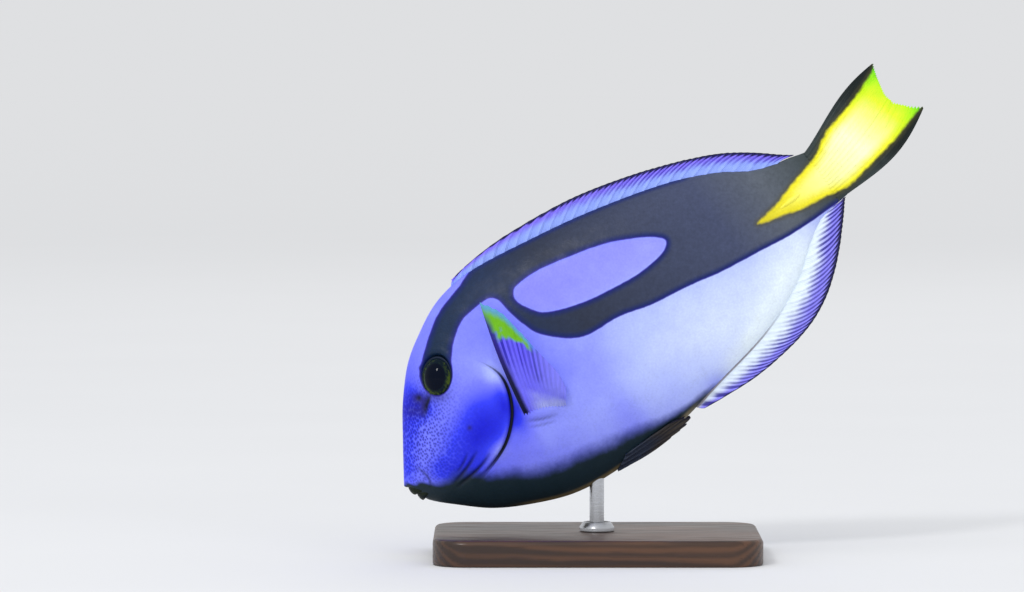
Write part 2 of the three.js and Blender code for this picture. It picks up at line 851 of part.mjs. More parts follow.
function upright(radius, fromZ, toZ, segments) {
  const geometry = new THREE.CylinderGeometry(radius, radius, toZ - fromZ, segments);
  geometry.rotateX(Math.PI / 2);
  geometry.translate(0, 0, (fromZ + toZ) / 2);
  return solidOf(geometry);
}
const collarFrom = BASE_HEIGHT + GAP;
const collarTo = collarFrom + COLLAR_HEIGHT;
const collar = upright(COLLAR_RADIUS, collarFrom, collarTo, 32).subtract(
  upright(ROD_RADIUS + GAP, 0, FAR, 24),
);
const carried = solidOf(bodyGeometry(GAP).applyMatrix4(fish.matrixWorld));
const rod = upright(ROD_RADIUS, collarFrom, FAR, 24).subtract(carried);
const rodBelowFish = rod
  .decompose()
  .reduce((low, piece) =>
    piece.boundingBox().min[2] < low.boundingBox().min[2] ? piece : low,
  );
addNode(part, "stand_base", standBase(), baseWood);
addNode(part, "stand_collar", collar, rodSteel);
addNode(part, "stand_rod", rodBelowFish, rodSteel);

export default part;
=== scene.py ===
"""A regal blue tang, gliding nose-down over a small display stand.

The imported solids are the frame. One fine skin, rayed fins, eyes, lips and a turned stand take their
place. The fish is drawn straight, in millimetres, in its own frame: x runs from the snout to the tail,
z towards the back and y towards the right flank. ``to_row_frame`` bends, pitches and places it.
"""

import logging
import math
from collections.abc import Callable, Sequence
from dataclasses import dataclass
from enum import Enum

import bpy
import numpy as np
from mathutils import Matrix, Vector
from mathutils.bvhtree import BVHTree


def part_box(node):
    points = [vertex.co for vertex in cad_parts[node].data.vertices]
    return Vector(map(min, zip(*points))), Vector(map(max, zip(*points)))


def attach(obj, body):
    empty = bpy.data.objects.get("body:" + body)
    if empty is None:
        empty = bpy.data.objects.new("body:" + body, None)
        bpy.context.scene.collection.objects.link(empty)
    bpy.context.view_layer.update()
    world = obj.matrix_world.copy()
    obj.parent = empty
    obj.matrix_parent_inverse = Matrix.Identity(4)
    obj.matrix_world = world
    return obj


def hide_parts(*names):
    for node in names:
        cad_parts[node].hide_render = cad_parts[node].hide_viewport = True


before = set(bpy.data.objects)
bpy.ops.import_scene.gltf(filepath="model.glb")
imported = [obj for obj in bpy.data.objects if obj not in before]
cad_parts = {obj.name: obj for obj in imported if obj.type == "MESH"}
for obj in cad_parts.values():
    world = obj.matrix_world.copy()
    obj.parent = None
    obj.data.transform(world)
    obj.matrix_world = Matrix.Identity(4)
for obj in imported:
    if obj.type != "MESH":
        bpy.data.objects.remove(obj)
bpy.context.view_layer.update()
LOG = logging.getLogger("regal_blue_tang")

Array = np.ndarray
Pair = tuple[float, float]
Triple = tuple[float, float, float]
Points = Sequence[Pair]
Piece = bpy.types.Object
Socket = bpy.types.NodeSocket
Material = bpy.types.Material
Colour = tuple[int, int, int]
Stop = tuple[float, Colour]

MM = 0.001
BODY = "root"
PITCH = math.radians(36.5)
SNOUT = np.array([-66.15, 0.0, 24.37])
BEND_START = 95.0
BEND_RADIUS = 420.0


class Side(Enum):
    """A side of the fish, with the direction in which it faces along y."""

    LEFT = -1
    RIGHT = 1

    @property
    def label(self) -> str:
        """The side's name as node names hold it."""
        return self.name.lower()


# Shapes


class Curve:
    """A smooth curve through (place, value) pairs, read as a function of the place."""

    def __init__(self, *points: Pair) -> None:
        """Keeps the points and their slopes.

        Args:
            *points: (place, value) pairs, in rising order of place.
        """
        self.place, self.value = np.array(points, float).T
        count = len(self.place)
        before = np.maximum(np.arange(count) - 1, 0)
        after = np.minimum(np.arange(count) + 1, count - 1)
        rise = self.value[after] - self.value[before]
        self.slope = rise / (self.place[after] - self.place[before])

    def __call__(self, where: Array) -> Array:
        """Reads the curve.

        Args:
            where: the places to read it at.

        Returns:
            Its values there.
        """
        i = np.clip(np.searchsorted(self.place, where, side="right") - 1, 0, len(self.place) - 2)
        width = self.place[i + 1] - self.place[i]
        t = np.clip((where - self.place[i]) / width, 0.0, 1.0)
        rest = 1.0 - t
        return (
            self.value[i] * (1 + 2 * t) * rest**2
            + self.slope[i] * width * t * rest**2
            + self.value[i + 1] * t**2 * (3 - 2 * t)
            - self.slope[i + 1] * width * t**2 * rest
        )


def lerp(first: Array, last: Array, share: Array) -> Array:
    """The value at a share of the way from first to last."""
    return first + (last - first) * share


def ease(value: Array, low: float, high: float) -> Array:
    """A smooth step from 0 at low to 1 at high."""
    t = np.clip((value - low) / (high - low), 0.0, 1.0)
    return t * t * (3 - 2 * t)


def bell(distance: Array, width: float) -> Array:
    """A smooth hump that is 1 at distance 0 and fades over width."""
    return np.exp(-((distance / width) ** 2))


def spline(points: Points, closed: bool = False, steps: int = 8) -> Array:
    """A smooth line through points.

    Args:
        points: the points, in order.
        closed: whether the line returns to its first point.
        steps: how many stretches lie between two points.

    Returns:
        The line's points, one to a row.
    """
    knots = np.array(points, float)
    if closed:
        knots = np.vstack([knots[-1], knots, knots[:2]])
    else:
        knots = np.vstack([2 * knots[0] - knots[1], knots, 2 * knots[-1] - knots[-2]])
    t = np.linspace(0.0, 1.0, steps, endpoint=False)[:, None]
    line = []
    for p0, p1, p2, p3 in zip(knots, knots[1:], knots[2:], knots[3:]):
        bend = (2 * p0 - 5 * p1 + 4 * p2 - p3) * t**2 + (3 * p1 - p0 - 3 * p2 + p3) * t**3
        line.append(0.5 * (2 * p1 + (p2 - p0) * t + bend))
    if not closed:
        line.append(knots[-2][None, :])
    return np.vstack(line)


def line_distance(x: Array, z: Array, line: Array) -> tuple[Array, Array, Array]:
    """Measures points against an open line in the side view.

    Args:
        x: the points' stations.
        z: their heights.
        line: the line's points.

    Returns:
        Their distance from it, the share of its length at the nearest place, and the side of it that
        they lie on: 1 on the left of its direction and -1 on the right.
    """
    best = np.full(x.shape, np.inf)
    share = np.zeros(x.shape)
    hand = np.ones(x.shape)
    for i, (start, end) in enumerate(zip(line, line[1:])):
        ex, ez = end - start
        t = np.clip(((x - start[0]) * ex + (z - start[1]) * ez) / (ex**2 + ez**2), 0.0, 1.0)
        gap = np.hypot(x - start[0] - t * ex, z - start[1] - t * ez)
        nearer = gap < best
        best = np.where(nearer, gap, best)
        share = np.where(nearer, (i + t) / (len(line) - 1), share)
        turn = ex * (z - start[1]) - ez * (x - start[0])
        hand = np.where(nearer, np.where(turn >= 0, 1.0, -1.0), hand)
    return best, share, hand


def depth_inside(x: Array, z: Array, outline: Array) -> Array:
    """How deep points lie inside a closed outline of the side view, and below 0 outside it."""
    ring = np.vstack([outline, outline[:1]])
    gap, _, _ = line_distance(x, z, ring)
    inside = np.zeros(x.shape, bool)
    for (ax, az), (bx, bz) in zip(ring, ring[1:]):
        if az == bz:
            continue
        crosses = (az > z) != (bz > z)
        inside ^= crosses & (x < (bx - ax) * (z - az) / (bz - az) + ax)
    return np.where(inside, gap, -gap)


def to_row_frame(points: Array) -> Array:
    """Bends the straight fish to its right, pitches it nose-down and places it.

    Args:
        points: places on the straight fish, in millimetres, one to a row.

    Returns:
        The same places in the row frame, in metres.
    """
    x, y, z = points.T
    along = np.maximum(0.0, x - BEND_START)
    turn = np.arctan(along / BEND_RADIUS)
    x = x - y * np.sin(turn)
    y = along**2 / (2 * BEND_RADIUS) + y * np.cos(turn)
    ahead = x * math.cos(PITCH) - z * math.sin(PITCH)
    up = x * math.sin(PITCH) + z * math.cos(PITCH)
    return (np.stack([ahead, y, up], axis=1) + SNOUT) * MM


@dataclass(frozen=True)
class TangForm:
    """The body's outline in the side view and half its width, by station."""

    start: float = 0.3
    end: float = 182.0
    section_power: float = 1.82
    back: Curve = Curve(
        (0.3, 0.5), (3, 4.4), (9, 12.9), (16.5, 23.1), (25, 32), (34, 38.3), (45, 43.8),
        (56, 46), (66, 45.7), (82, 43.2), (106, 38.4), (134, 30.3), (150, 23), (160, 16.4),
        (168, 13.2), (173, 12.0), (178, 10.4), (182, 9.6),
    )
    belly: Curve = Curve(
        (0.3, -0.4), (1.6, -2), (3, -6.2), (4.4, -9), (10, -14.9), (20, -24), (32, -31),
        (46, -36.7), (62, -38.9), (90, -38.7), (107, -35.6), (132, -31), (150, -24),
        (162, -15.8), (170, -11.6), (182, -10.2),
    )
    half_width: Curve = Curve(
        (0.3, 1), (1.4, 2.4), (3, 3.5), (9, 6), (17, 8.6), (28, 11.4), (42, 13.7), (58, 14.6),
        (78, 14.2), (98, 12.8), (118, 10.8), (138, 8.1), (154, 5.6), (166, 3.9), (176, 2.6),
        (182, 1.5),
    )

    def middle(self, x: Array) -> Array:
        """The height at which the body is widest."""
        return (self.back(x) + self.belly(x)) / 2

    def reach(self, x: Array) -> Array:
        """The height from the middle to the back or belly."""
        return (self.back(x) - self.belly(x)) / 2

    def flank(self, x: Array, z: Array) -> Array:
        """How far the flank stands out from the middle plane at a station and height."""
        share = np.minimum(1.0, np.abs(z - self.middle(x)) / self.reach(x))
        return self.half_width(x) * (1 - share**self.section_power) ** (1 / self.section_power)

    def spot(self, x: float, z: float, side: Side) -> tuple[Vector, Vector]:
        """A place on the flank.

        Args:
            x: its station.
            z: its height.
            side: the flank.

        Returns:
            The place and the direction in which the skin faces there, on the straight fish.
        """
        step = 1.0
        slope_x = (self.flank(x + step, z) - self.flank(x - step, z)) / (2 * step)
        slope_z = (self.flank(x, z + step) - self.flank(x, z - step)) / (2 * step)
        facing = Vector((-slope_x, side.value, -slope_z)).normalized()
        return Vector((x, side.value * self.flank(x, z), z)), facing


def upright(x: Array, z: Array) -> tuple[Array, Array]:
    """How far places of the straight fish lie behind and above the snout once it is pitched."""
    return x * math.cos(PITCH) - z * math.sin(PITCH), x * math.sin(PITCH) + z * math.cos(PITCH)


FORM = TangForm()
EYE = (31.8, 24.0)
PECTORAL_FRONT = (48.5, -4.4)
PECTORAL_REAR = (62.0, -9.3)


# Making meshes


def start_piece(name: str, add: Callable, **sizes: float) -> Piece:
    """Adds a primitive with nothing else selected.

    Args:
        name: the piece's name.
        add: the operator that adds the primitive.
        **sizes: what the operator takes.

    Returns:
        The new piece, active and selected.
    """
    bpy.ops.object.select_all(action="DESELECT")
    add(**sizes)
    piece = bpy.context.active_object
    piece.name = name
    piece.data.name = name
    return piece


def focus(piece: Piece) -> None:
    """Makes a piece the only selected one and the active one."""
    bpy.ops.object.select_all(action="DESELECT")
    piece.select_set(True)
    bpy.context.view_layer.objects.active = piece


def places(piece: Piece) -> Array:
    """The places of a piece's vertices, one to a row."""
    flat = np.empty(len(piece.data.vertices) * 3)
    piece.data.vertices.foreach_get("co", flat)
    return flat.reshape(-1, 3)


def shape_to(piece: Piece, points: Array) -> None:
    """Moves a piece's vertices to points, one to a row."""
    piece.data.vertices.foreach_set("co", np.ascontiguousarray(points, float).ravel())
    piece.data.update()


def keep(piece: Piece, **values: Array | float) -> None:
    """Keeps numbers for each vertex, for the materials to read by name.

    Args:
        piece: the piece.
        **values: by name, a number for each vertex or one for all of them.
    """
    for name, value in values.items():
        numbers = np.full(len(piece.data.vertices), value, np.float32)
        piece.data.attributes.new(name, "FLOAT", "POINT").data.foreach_set("value", numbers)


def edit_faces(piece: Piece, chosen: Callable[[bpy.types.MeshPolygon], bool]) -> None:
    """Opens a piece for editing with only the chosen faces selected.

    Args:
        piece: the piece to edit.
        chosen: says of each face whether it is selected.
    """
    focus(piece)
    bpy.ops.object.mode_set(mode="EDIT")
    bpy.ops.mesh.select_mode(type="FACE")
    bpy.ops.mesh.select_all(action="DESELECT")
    bpy.ops.object.mode_set(mode="OBJECT")
    for face in piece.data.polygons:
        face.select = chosen(face)
    bpy.ops.object.mode_set(mode="EDIT")


def end_edit() -> None:
    """Closes the piece that is open for editing."""
    bpy.ops.object.mode_set(mode="OBJECT")


def turn_outwards(piece: Piece) -> None:
    """Makes a closed piece's faces point outwards."""
    edit_faces(piece, lambda face: True)
    bpy.ops.mesh.normals_make_consistent(inside=False)
    end_edit()


def finish_with(piece: Piece, kind: str, **settings: object) -> None:
    """Adds a modifier to a piece and applies it.

    Args:
        piece: the piece.
        kind: the modifier's type.
        **settings: its settings.
    """
    focus(piece)
    modifier = piece.modifiers.new(kind.lower(), kind)
    for key, value in settings.items():
        setattr(modifier, key, value)
    bpy.ops.object.modifier_apply(modifier=modifier.name)


def smooth(piece: Piece, angle: float | None = None) -> None:
    """Shades a piece smoothly, with edges sharper than an angle in degrees kept where one is given."""
    focus(piece)
    if angle is None:
        bpy.ops.object.shade_smooth()
    else:
        bpy.ops.object.shade_smooth_by_angle(angle=math.radians(angle))


def place(piece: Piece, material: Material, slot: str, *nodes: str) -> None:
    """Dresses a finished piece and hands it to the frame.

    Args:
        piece: the piece.
        material: its material.
        slot: a material slot's name; not used.
        *nodes: the solids that it stands for.
    """
    piece.data.materials.clear()
    piece.data.materials.append(material)
    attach(piece, BODY)
    if nodes:
        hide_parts(*nodes)
    LOG.info("%s: %d faces for %s", piece.name, len(piece.data.polygons), ", ".join(nodes) or "trim")


def ball(name: str, rings: int, spokes: int) -> tuple[Piece, Array, Array]:
    """A ball to be drawn out into a closed tube.

    Args:
        name: the piece's name.
        rings: rings from pole to pole.
        spokes: vertices round each ring.

    Returns:
        The piece, and each vertex's share of the way from pole to pole and its angle round it.
    """
    add = bpy.ops.mesh.primitive_uv_sphere_add
    piece = start_piece(name, add, segments=spokes, ring_count=rings, radius=1.0)
    x, y, z = places(piece).T
    share = np.rint(np.arccos(np.clip(z, -1, 1)) / math.pi * rings) / rings
    step = 2 * math.pi / spokes
    return piece, share, np.rint(np.arctan2(y, x) / step) * step


# Materials


BLACK = (0.0, 0.0, 0.0, 1.0)
MIX_INPUTS = (0, 6, 7)
MIX_RESULT = 2
DOT_SCATTER = 0.72
DOT_WAVER = 0.25


def rgb(colour: Colour) -> tuple[float, float, float, float]:
    """An sRGB colour, 0 to 255 each, as the linear colour that shaders take."""
    shares = [channel / 255 for channel in colour]
    linear = [s / 12.92 if s <= 0.04045 else ((s + 0.055) / 1.055) ** 2.4 for s in shares]
    return (*linear, 1.0)


class Paint:
    """Lays out the nodes of one material or node group with short calls."""

    def __init__(self, tree: bpy.types.NodeTree) -> None:
        """Keeps the tree that the nodes go into."""
        self.tree = tree

    def node(self, kind: str, *sources: object, **settings: object) -> bpy.types.Node:
        """Adds a node.

        Args:
            kind: its type, without the leading ShaderNode.
            *sources: what its sockets take in order; None leaves one as it is.
            **settings: its properties.

        Returns:
            The node.
        """
        node = self.tree.nodes.new("ShaderNode" + kind)
        for key, value in settings.items():
            setattr(node, key, value)
        for socket, source in zip(node.inputs, sources):
            self.feed(socket, source)
        return node

    def feed(self, socket: Socket, source: object) -> None:
        """Links a socket to another, or sets it to a value; None leaves it as it is."""
        if isinstance(source, bpy.types.NodeSocket):
            self.tree.links.new(source, socket)
        elif source is not None:
            socket.default_value = source

    def read(self, name: str) -> Socket:
        """A number that the piece keeps for each vertex."""
        return self.node("Attribute", attribute_name=name).outputs["Fac"]

    def where(self) -> Socket:
        """The place on the piece, in metres in the row frame."""
        return self.node("TexCoord").outputs["Object"]

    def math(self, operation: str, first: object, second: object = None) -> Socket:
        """A sum on one or two numbers, named as Blender's Math node names it."""
        return self.node("Math", first, second, operation=operation).outputs[0]

    def plus(self, first: object, second: object) -> Socket:
        """The sum of two numbers."""
        return self.math("ADD", first, second)

    def times(self, first: object, second: object) -> Socket:
        """The product of two numbers."""
        return self.math("MULTIPLY", first, second)

    def swing(self, vector: Socket, scale: float, detail: float) -> Socket:
        """Soft noise from -0.5 to 0.5."""
        return self.math("SUBTRACT", self.noise(vector, scale, detail), 0.5)

    def step(self, value: object, low: float, high: float, start: float = 0, end: float = 1) -> Socket:
        """A smooth step from start, where value is low, to end, where it is high."""
        node = self.node("MapRange", value, low, high, start, end, interpolation_type="SMOOTHSTEP")
        return node.outputs[0]

    def mix(self, share: object, first: object, second: object) -> Socket:
        """A colour at a share of the way from first to second."""
        node = self.node("Mix", data_type="RGBA")
        for number, source in zip(MIX_INPUTS, (share, first, second)):
            self.feed(node.inputs[number], source)
        return node.outputs[MIX_RESULT]

    def cover(self, colour: object, *layers: tuple[object, Colour]) -> Socket:
        """Lays plain colours over another one.

        Args:
            colour: the colour below.
            *layers: how far each covers what lies below it, and its colour.

        Returns:
            The colour's socket.
        """
        for share, layer in layers:
            colour = self.mix(share, colour, rgb(layer))
        return colour

    def ramp(self, value: object, stops: Sequence[Stop]) -> Socket:
        """A colour read off a ramp.

        Args:
            value: where to read it.
            stops: its places and colours.

        Returns:
            The colour's socket.
        """
        node = self.node("ValToRGB", value)
        elements = node.color_ramp.elements
        while len(elements) < len(stops):
            elements.new(1.0)
        for element, (position, colour) in zip(elements, stops):
            element.position = position
            element.color = rgb(colour)
        return node.outputs[0]

    def stretched(self, vector: Socket, scale: Triple, turn: float = 0.0) -> Socket:
        """The place scaled along each axis, after a turn about Y that undoes the fish's pitch."""
        turned = self.node("Mapping", vector, vector_type="TEXTURE")
        turned.inputs["Rotation"].default_value = (0.0, turn, 0.0)
        scaled = self.node("Mapping", turned.outputs[0], vector_type="POINT")
        scaled.inputs["Scale"].default_value = scale
        return scaled.outputs[0]

    def noise(self, vector: Socket, scale: float | Socket, detail: float = 3.0) -> Socket:
        """Soft noise from 0 to 1."""
        node = self.node("TexNoise", vector)
        self.feed(node.inputs["Scale"], scale)
        node.inputs["Detail"].default_value = detail
        return node.outputs["Fac"]

    def cells(self, vector: Socket, scale: float | Socket) -> Socket:
        """The distance to the nearest of many scattered points."""
        node = self.node("TexVoronoi", vector, feature="F1")
        self.feed(node.inputs["Scale"], scale)
        return node.outputs["Distance"]

    def rows_of_dots(self, vector: Socket, scale: float, waver: Socket) -> Socket:
        """The distance to the nearest of many dots that lie in loose rows over both flanks.

        Args:
            vector: the place.
            scale: how many dots lie along a metre.
            waver: noise round 0 that sets the dots' outlines off the round.

        Returns:
            The distance, in steps from one dot to the next.
        """
        axes = self.node("SeparateXYZ", vector).outputs
        along = self.plus(axes["X"], self.math("ABSOLUTE", axes["Y"]))
        flat = self.node("CombineXYZ", along, axes["Z"]).outputs[0]
        dots = self.node("TexVoronoi", flat, feature="F1", voronoi_dimensions="2D")
        dots.inputs["Scale"].default_value = scale
        dots.inputs["Randomness"].default_value = DOT_SCATTER
        return self.plus(dots.outputs["Distance"], self.times(waver, DOT_WAVER))

    def bump(
        self, height: Socket, strength: float | Socket, distance: float, below: Socket | None = None
    ) -> Socket:
        """A normal from a height, over another normal where one is given."""
        node = self.node("Bump")
        self.feed(node.inputs["Strength"], strength)
        node.inputs["Distance"].default_value = distance
        self.feed(node.inputs["Height"], height)
        if below is not None:
            self.feed(node.inputs["Normal"], below)
        return node.outputs["Normal"]

    def group(self, tree: bpy.types.NodeTree, **sources: object) -> Socket:
        """Places a node group and gives its first output.

        Args:
            tree: the group.
            **sources: what its inputs take, with underscores for spaces.

        Returns:
            Its first output.
        """
        node = self.tree.nodes.new("ShaderNodeGroup")
        node.node_tree = tree
        for key, value in sources.items():
            self.feed(node.inputs[key.replace("_", " ")], value)
        return node.outputs[0]


def new_material(name: str) -> tuple[Material, Paint, bpy.types.Node]:
    """Makes a material.

    Args:
        name: its name.

    Returns:
        The material, its node layout and its Principled shader.
    """
    material = bpy.data.materials.new(name)
    material.use_nodes = True
    paint = Paint(material.node_tree)
    return material, paint, material.node_tree.nodes["Principled BSDF"]


def new_group(
    name: str, inputs: dict[str, str], output: tuple[str, str]
) -> tuple[Paint, dict[str, Socket]]:
    """Makes an empty shader node group.

    Args:
        name: its name.
        inputs: the names and socket types of its inputs.
        output: the name and socket type of its one output.

    Returns:
        Its node layout and its inputs as sockets to read, with its output under the key "out".
    """
    tree = bpy.data.node_groups.new(name, "ShaderNodeTree")
    for key, kind in inputs.items():
        tree.interface.new_socket(key, in_out="INPUT", socket_type="NodeSocket" + kind)
    tree.interface.new_socket(output[0], in_out="OUTPUT", socket_type="NodeSocket" + output[1])
    start = tree.nodes.new("NodeGroupInput")
    end = tree.nodes.new("NodeGroupOutput")
    sockets = {key: start.outputs[key] for key in inputs}
    sockets["out"] = end.inputs[0]
    return Paint(tree), sockets


@dataclass(frozen=True)
class TailYellow:
    """The yellow wedge that runs from the tail stalk over the tail fin, with its ragged olive rim.

    Its colours go by the share of a length along the tail, pale in its middle and deep at its edge; the
    near-white of its middle is a painted highlight.
    """

    start: float = 150.0
    length: float = 75.0
    # The near-white stops of this ramp are a painted highlight.
    pale: tuple[Stop, ...] = (
        (0.0, (232, 220, 44)), (0.18, (252, 246, 96)), (0.4, (255, 255, 166)),
        (0.58, (255, 255, 206)), (0.71, (255, 255, 140)), (0.8, (232, 252, 48)),
        (0.87, (196, 248, 30)), (0.93, (96, 222, 30)),
    )
    deep: tuple[Stop, ...] = (
        (0.0, (212, 198, 36)), (0.2, (238, 226, 36)), (0.66, (250, 248, 40)),
        (0.8, (206, 244, 18)), (0.88, (150, 236, 20)), (0.94, (72, 206, 30)),
    )
    olive: Colour = (76, 72, 36)

    def build(self) -> bpy.types.NodeTree:
        """Makes the node group that lays the wedge over a ground colour."""
        inputs = {"Ground": "Color", "Place": "Vector", "Depth": "Float", "Reach": "Float"}
        paint, sockets = new_group("tail_yellow", inputs, ("Color", "Color"))
        ragged = paint.swing(sockets["Place"], 480.0, 5.0)
        depth = paint.plus(sockets["Depth"], paint.times(ragged, 1.1))
        along = paint.math("DIVIDE", paint.math("SUBTRACT", sockets["Reach"], self.start), self.length)
        along = paint.plus(along, paint.times(ragged, 0.03))
        # Paler towards the wedge's middle: the near-white there is a painted highlight over the yellow.
        middle = paint.step(depth, 0.3, 4.2)
        yellow = paint.mix(middle, paint.ramp(along, self.deep), paint.ramp(along, self.pale))
        glow = paint.step(depth, -2.2, 0.0, 0.0, 0.6)
        colour = paint.mix(glow, sockets["Ground"], rgb(self.olive))
        colour = paint.mix(paint.step(depth, -0.7, 0.6), colour, yellow)
        paint.feed(sockets["out"], colour)
        return paint.tree


class Effects:
    """The effects that more than one material uses, each a node group built once."""

    def __init__(self) -> None:
        """Builds the groups."""
        self.fine_scales = self._fine_scales()
        self.mottle = self._mottle()
        self.tail_yellow = TailYellow().build()

    @staticmethod
    def _fine_scales() -> bpy.types.NodeTree:
        """The velvet of very small scales, as a normal."""
        inputs = {"Place": "Vector", "Scales per Metre": "Float", "Strength": "Float"}
        paint, sockets = new_group("fine_scales", inputs, ("Normal", "Vector"))
        domes = paint.times(paint.cells(sockets["Place"], sockets["Scales per Metre"]), -1.0)
        grain = paint.times(paint.noise(sockets["Place"], 900.0, 4.0), 0.6)
        normal = paint.bump(paint.plus(domes, grain), sockets["Strength"], 0.0004)
        paint.feed(sockets["out"], normal)
        return paint.tree

    @staticmethod
    def _mottle() -> bpy.types.NodeTree:
        """Slightly uneven colour, lighter and darker in soft patches."""
        inputs = {"Color": "Color", "Place": "Vector", "Scale": "Float", "Amount": "Float"}
        paint, sockets = new_group("mottle", inputs, ("Color", "Color"))
        swing = paint.times(paint.swing(sockets["Place"], sockets["Scale"], 5.0), sockets["Amount"])
        tone = paint.node("HueSaturation")
        paint.feed(tone.inputs["Value"], paint.plus(swing, 1.0))
        paint.feed(tone.inputs["Color"], sockets["Color"])
        paint.feed(sockets["out"], tone.outputs["Color"])
        return paint.tree


# Markings


@dataclass(frozen=True)
class Wash:
    """A soft patch of lighter or darker blue laid on the flank: the skin's own tone, and painted light
    and shade.

    Attributes:
        behind: how far its middle lies behind the snout, level.
        above: how far it lies above the snout.
        width: how far it fades to either side.
        height: how far it fades up and down.
        amount: what it adds at its middle.
        lean: how far its top leans back, in degrees.
    """

    behind: float
    above: float
    width: float
    height: float
    amount: float
    lean: float = 0.0

    def over(self, x: Array, z: Array) -> Array:
        """What the wash adds at places of the side view."""
        behind, above = upright(x, z)
        u, v = behind - self.behind, above - self.above
        turn = math.radians(self.lean)
        across = u * math.cos(turn) - v * math.sin(turn)
        along = u * math.sin(turn) + v * math.cos(turn)
        return self.amount * np.exp(-((across / self.width) ** 2) - (along / self.height) ** 2)


@dataclass(frozen=True)
class Crease:
    """A fold in the skin, seen from the side as a line.

    Attributes:
        line: its points.
        width: half its width.
        depth: how deep it is.
        shade: how much painted shade lies in it, from 0 to 1.
    """

    line: Points
    width: float
    depth: float
    shade: float


@dataclass(frozen=True)
class Swell:
    """A soft ridge, or a groove where its height is below 0, at a distance from a place or line."""

    height: float
    away: float
    width: float

    def over(self, distance: Array) -> Array:
        """How far the skin stands out at distances from that place or line."""
        return self.height * bell(distance - self.away, self.width)


@dataclass(frozen=True)
class Markings:
    """The outlines of the dark and yellow markings in the side view, the same on both sides."""

    band: Points = (
        (28.6, 28.4), (31.2, 30.6), (34, 32.9), (37.4, 35.7), (41.8, 38.9), (46.4, 41.2),
        (50.8, 42.5), (56.4, 43.9), (61, 45.5), (72, 48), (106, 43), (134, 35), (150, 28), (162, 20),
        (172, 16), (190, 16), (194, 0), (190, -14), (178, -10.4), (168.5, -9.9), (156.7, -9),
        (145.7, -7.1), (131.7, -4.9), (118.3, -1.7), (105.6, 0.6), (94.6, 4), (86, 4.8),
        (80.6, 5.8), (75.3, 9), (69.3, 15.2), (67, 20.4), (65.3, 27.6), (64.8, 32.3),
        (63.2, 34.7), (60.3, 35.6), (55.1, 35.4), (50.9, 34.9), (46.7, 32.8), (42.8, 29.8),
        (39.1, 25.7), (36.6, 22), (30, 21),
    )
    oval: Points = (
        (70, 31.9), (72.4, 33.2), (80.9, 33.1), (92.9, 30.4), (105.5, 26.5), (116.3, 20.8),
        (121.6, 16.4), (121.6, 13.8), (117.6, 11.8), (108.3, 11.2), (97.2, 12.6), (86.7, 14.8),
        (75.2, 19.3), (70.4, 25), (68.9, 29.3),
    )
    tail_lean: float = 0.28
    tail_middle: float = 6.0
    wedge: Points = (
        (150.4, 0.6), (159, 1.8), (168.8, 4.3), (180.3, 6.8), (188.5, 11.1), (201.5, 14),
        (213.8, 18.1), (217.8, 20.9), (225, 21), (229, 8), (222.6, -1.2), (220.1, -1.4),
        (206.8, -4.8), (194.6, -6.6), (184.2, -8), (174.9, -6), (166.7, -4.6), (158.6, -2.2),
    )

    def band_depth(self, x: Array, z: Array) -> Array:
        """How deep places lie inside the dark band, outside its blue oval."""
        band = depth_inside(x, z, spline(self.band, closed=True, steps=4))
        return np.minimum(band, -self.oval_depth(x, z))

    def oval_depth(self, x: Array, z: Array) -> Array:
        """How deep places lie inside the blue oval."""
        return depth_inside(x, z, spline(self.oval, closed=True, steps=6))

    def tail_reach(self, x: Array, z: Array) -> Array:
        """How far along the tail places lie, for its shift from yellow to green at its upper corner."""
        return x + self.tail_lean * (z - self.tail_middle)

    def wedge_depth(self, x: Array, z: Array) -> Array:
        """How deep places lie inside the yellow wedge."""
        return depth_inside(x, z, spline(self.wedge, closed=True, steps=4))


MARKINGS = Markings()


# The body's skin


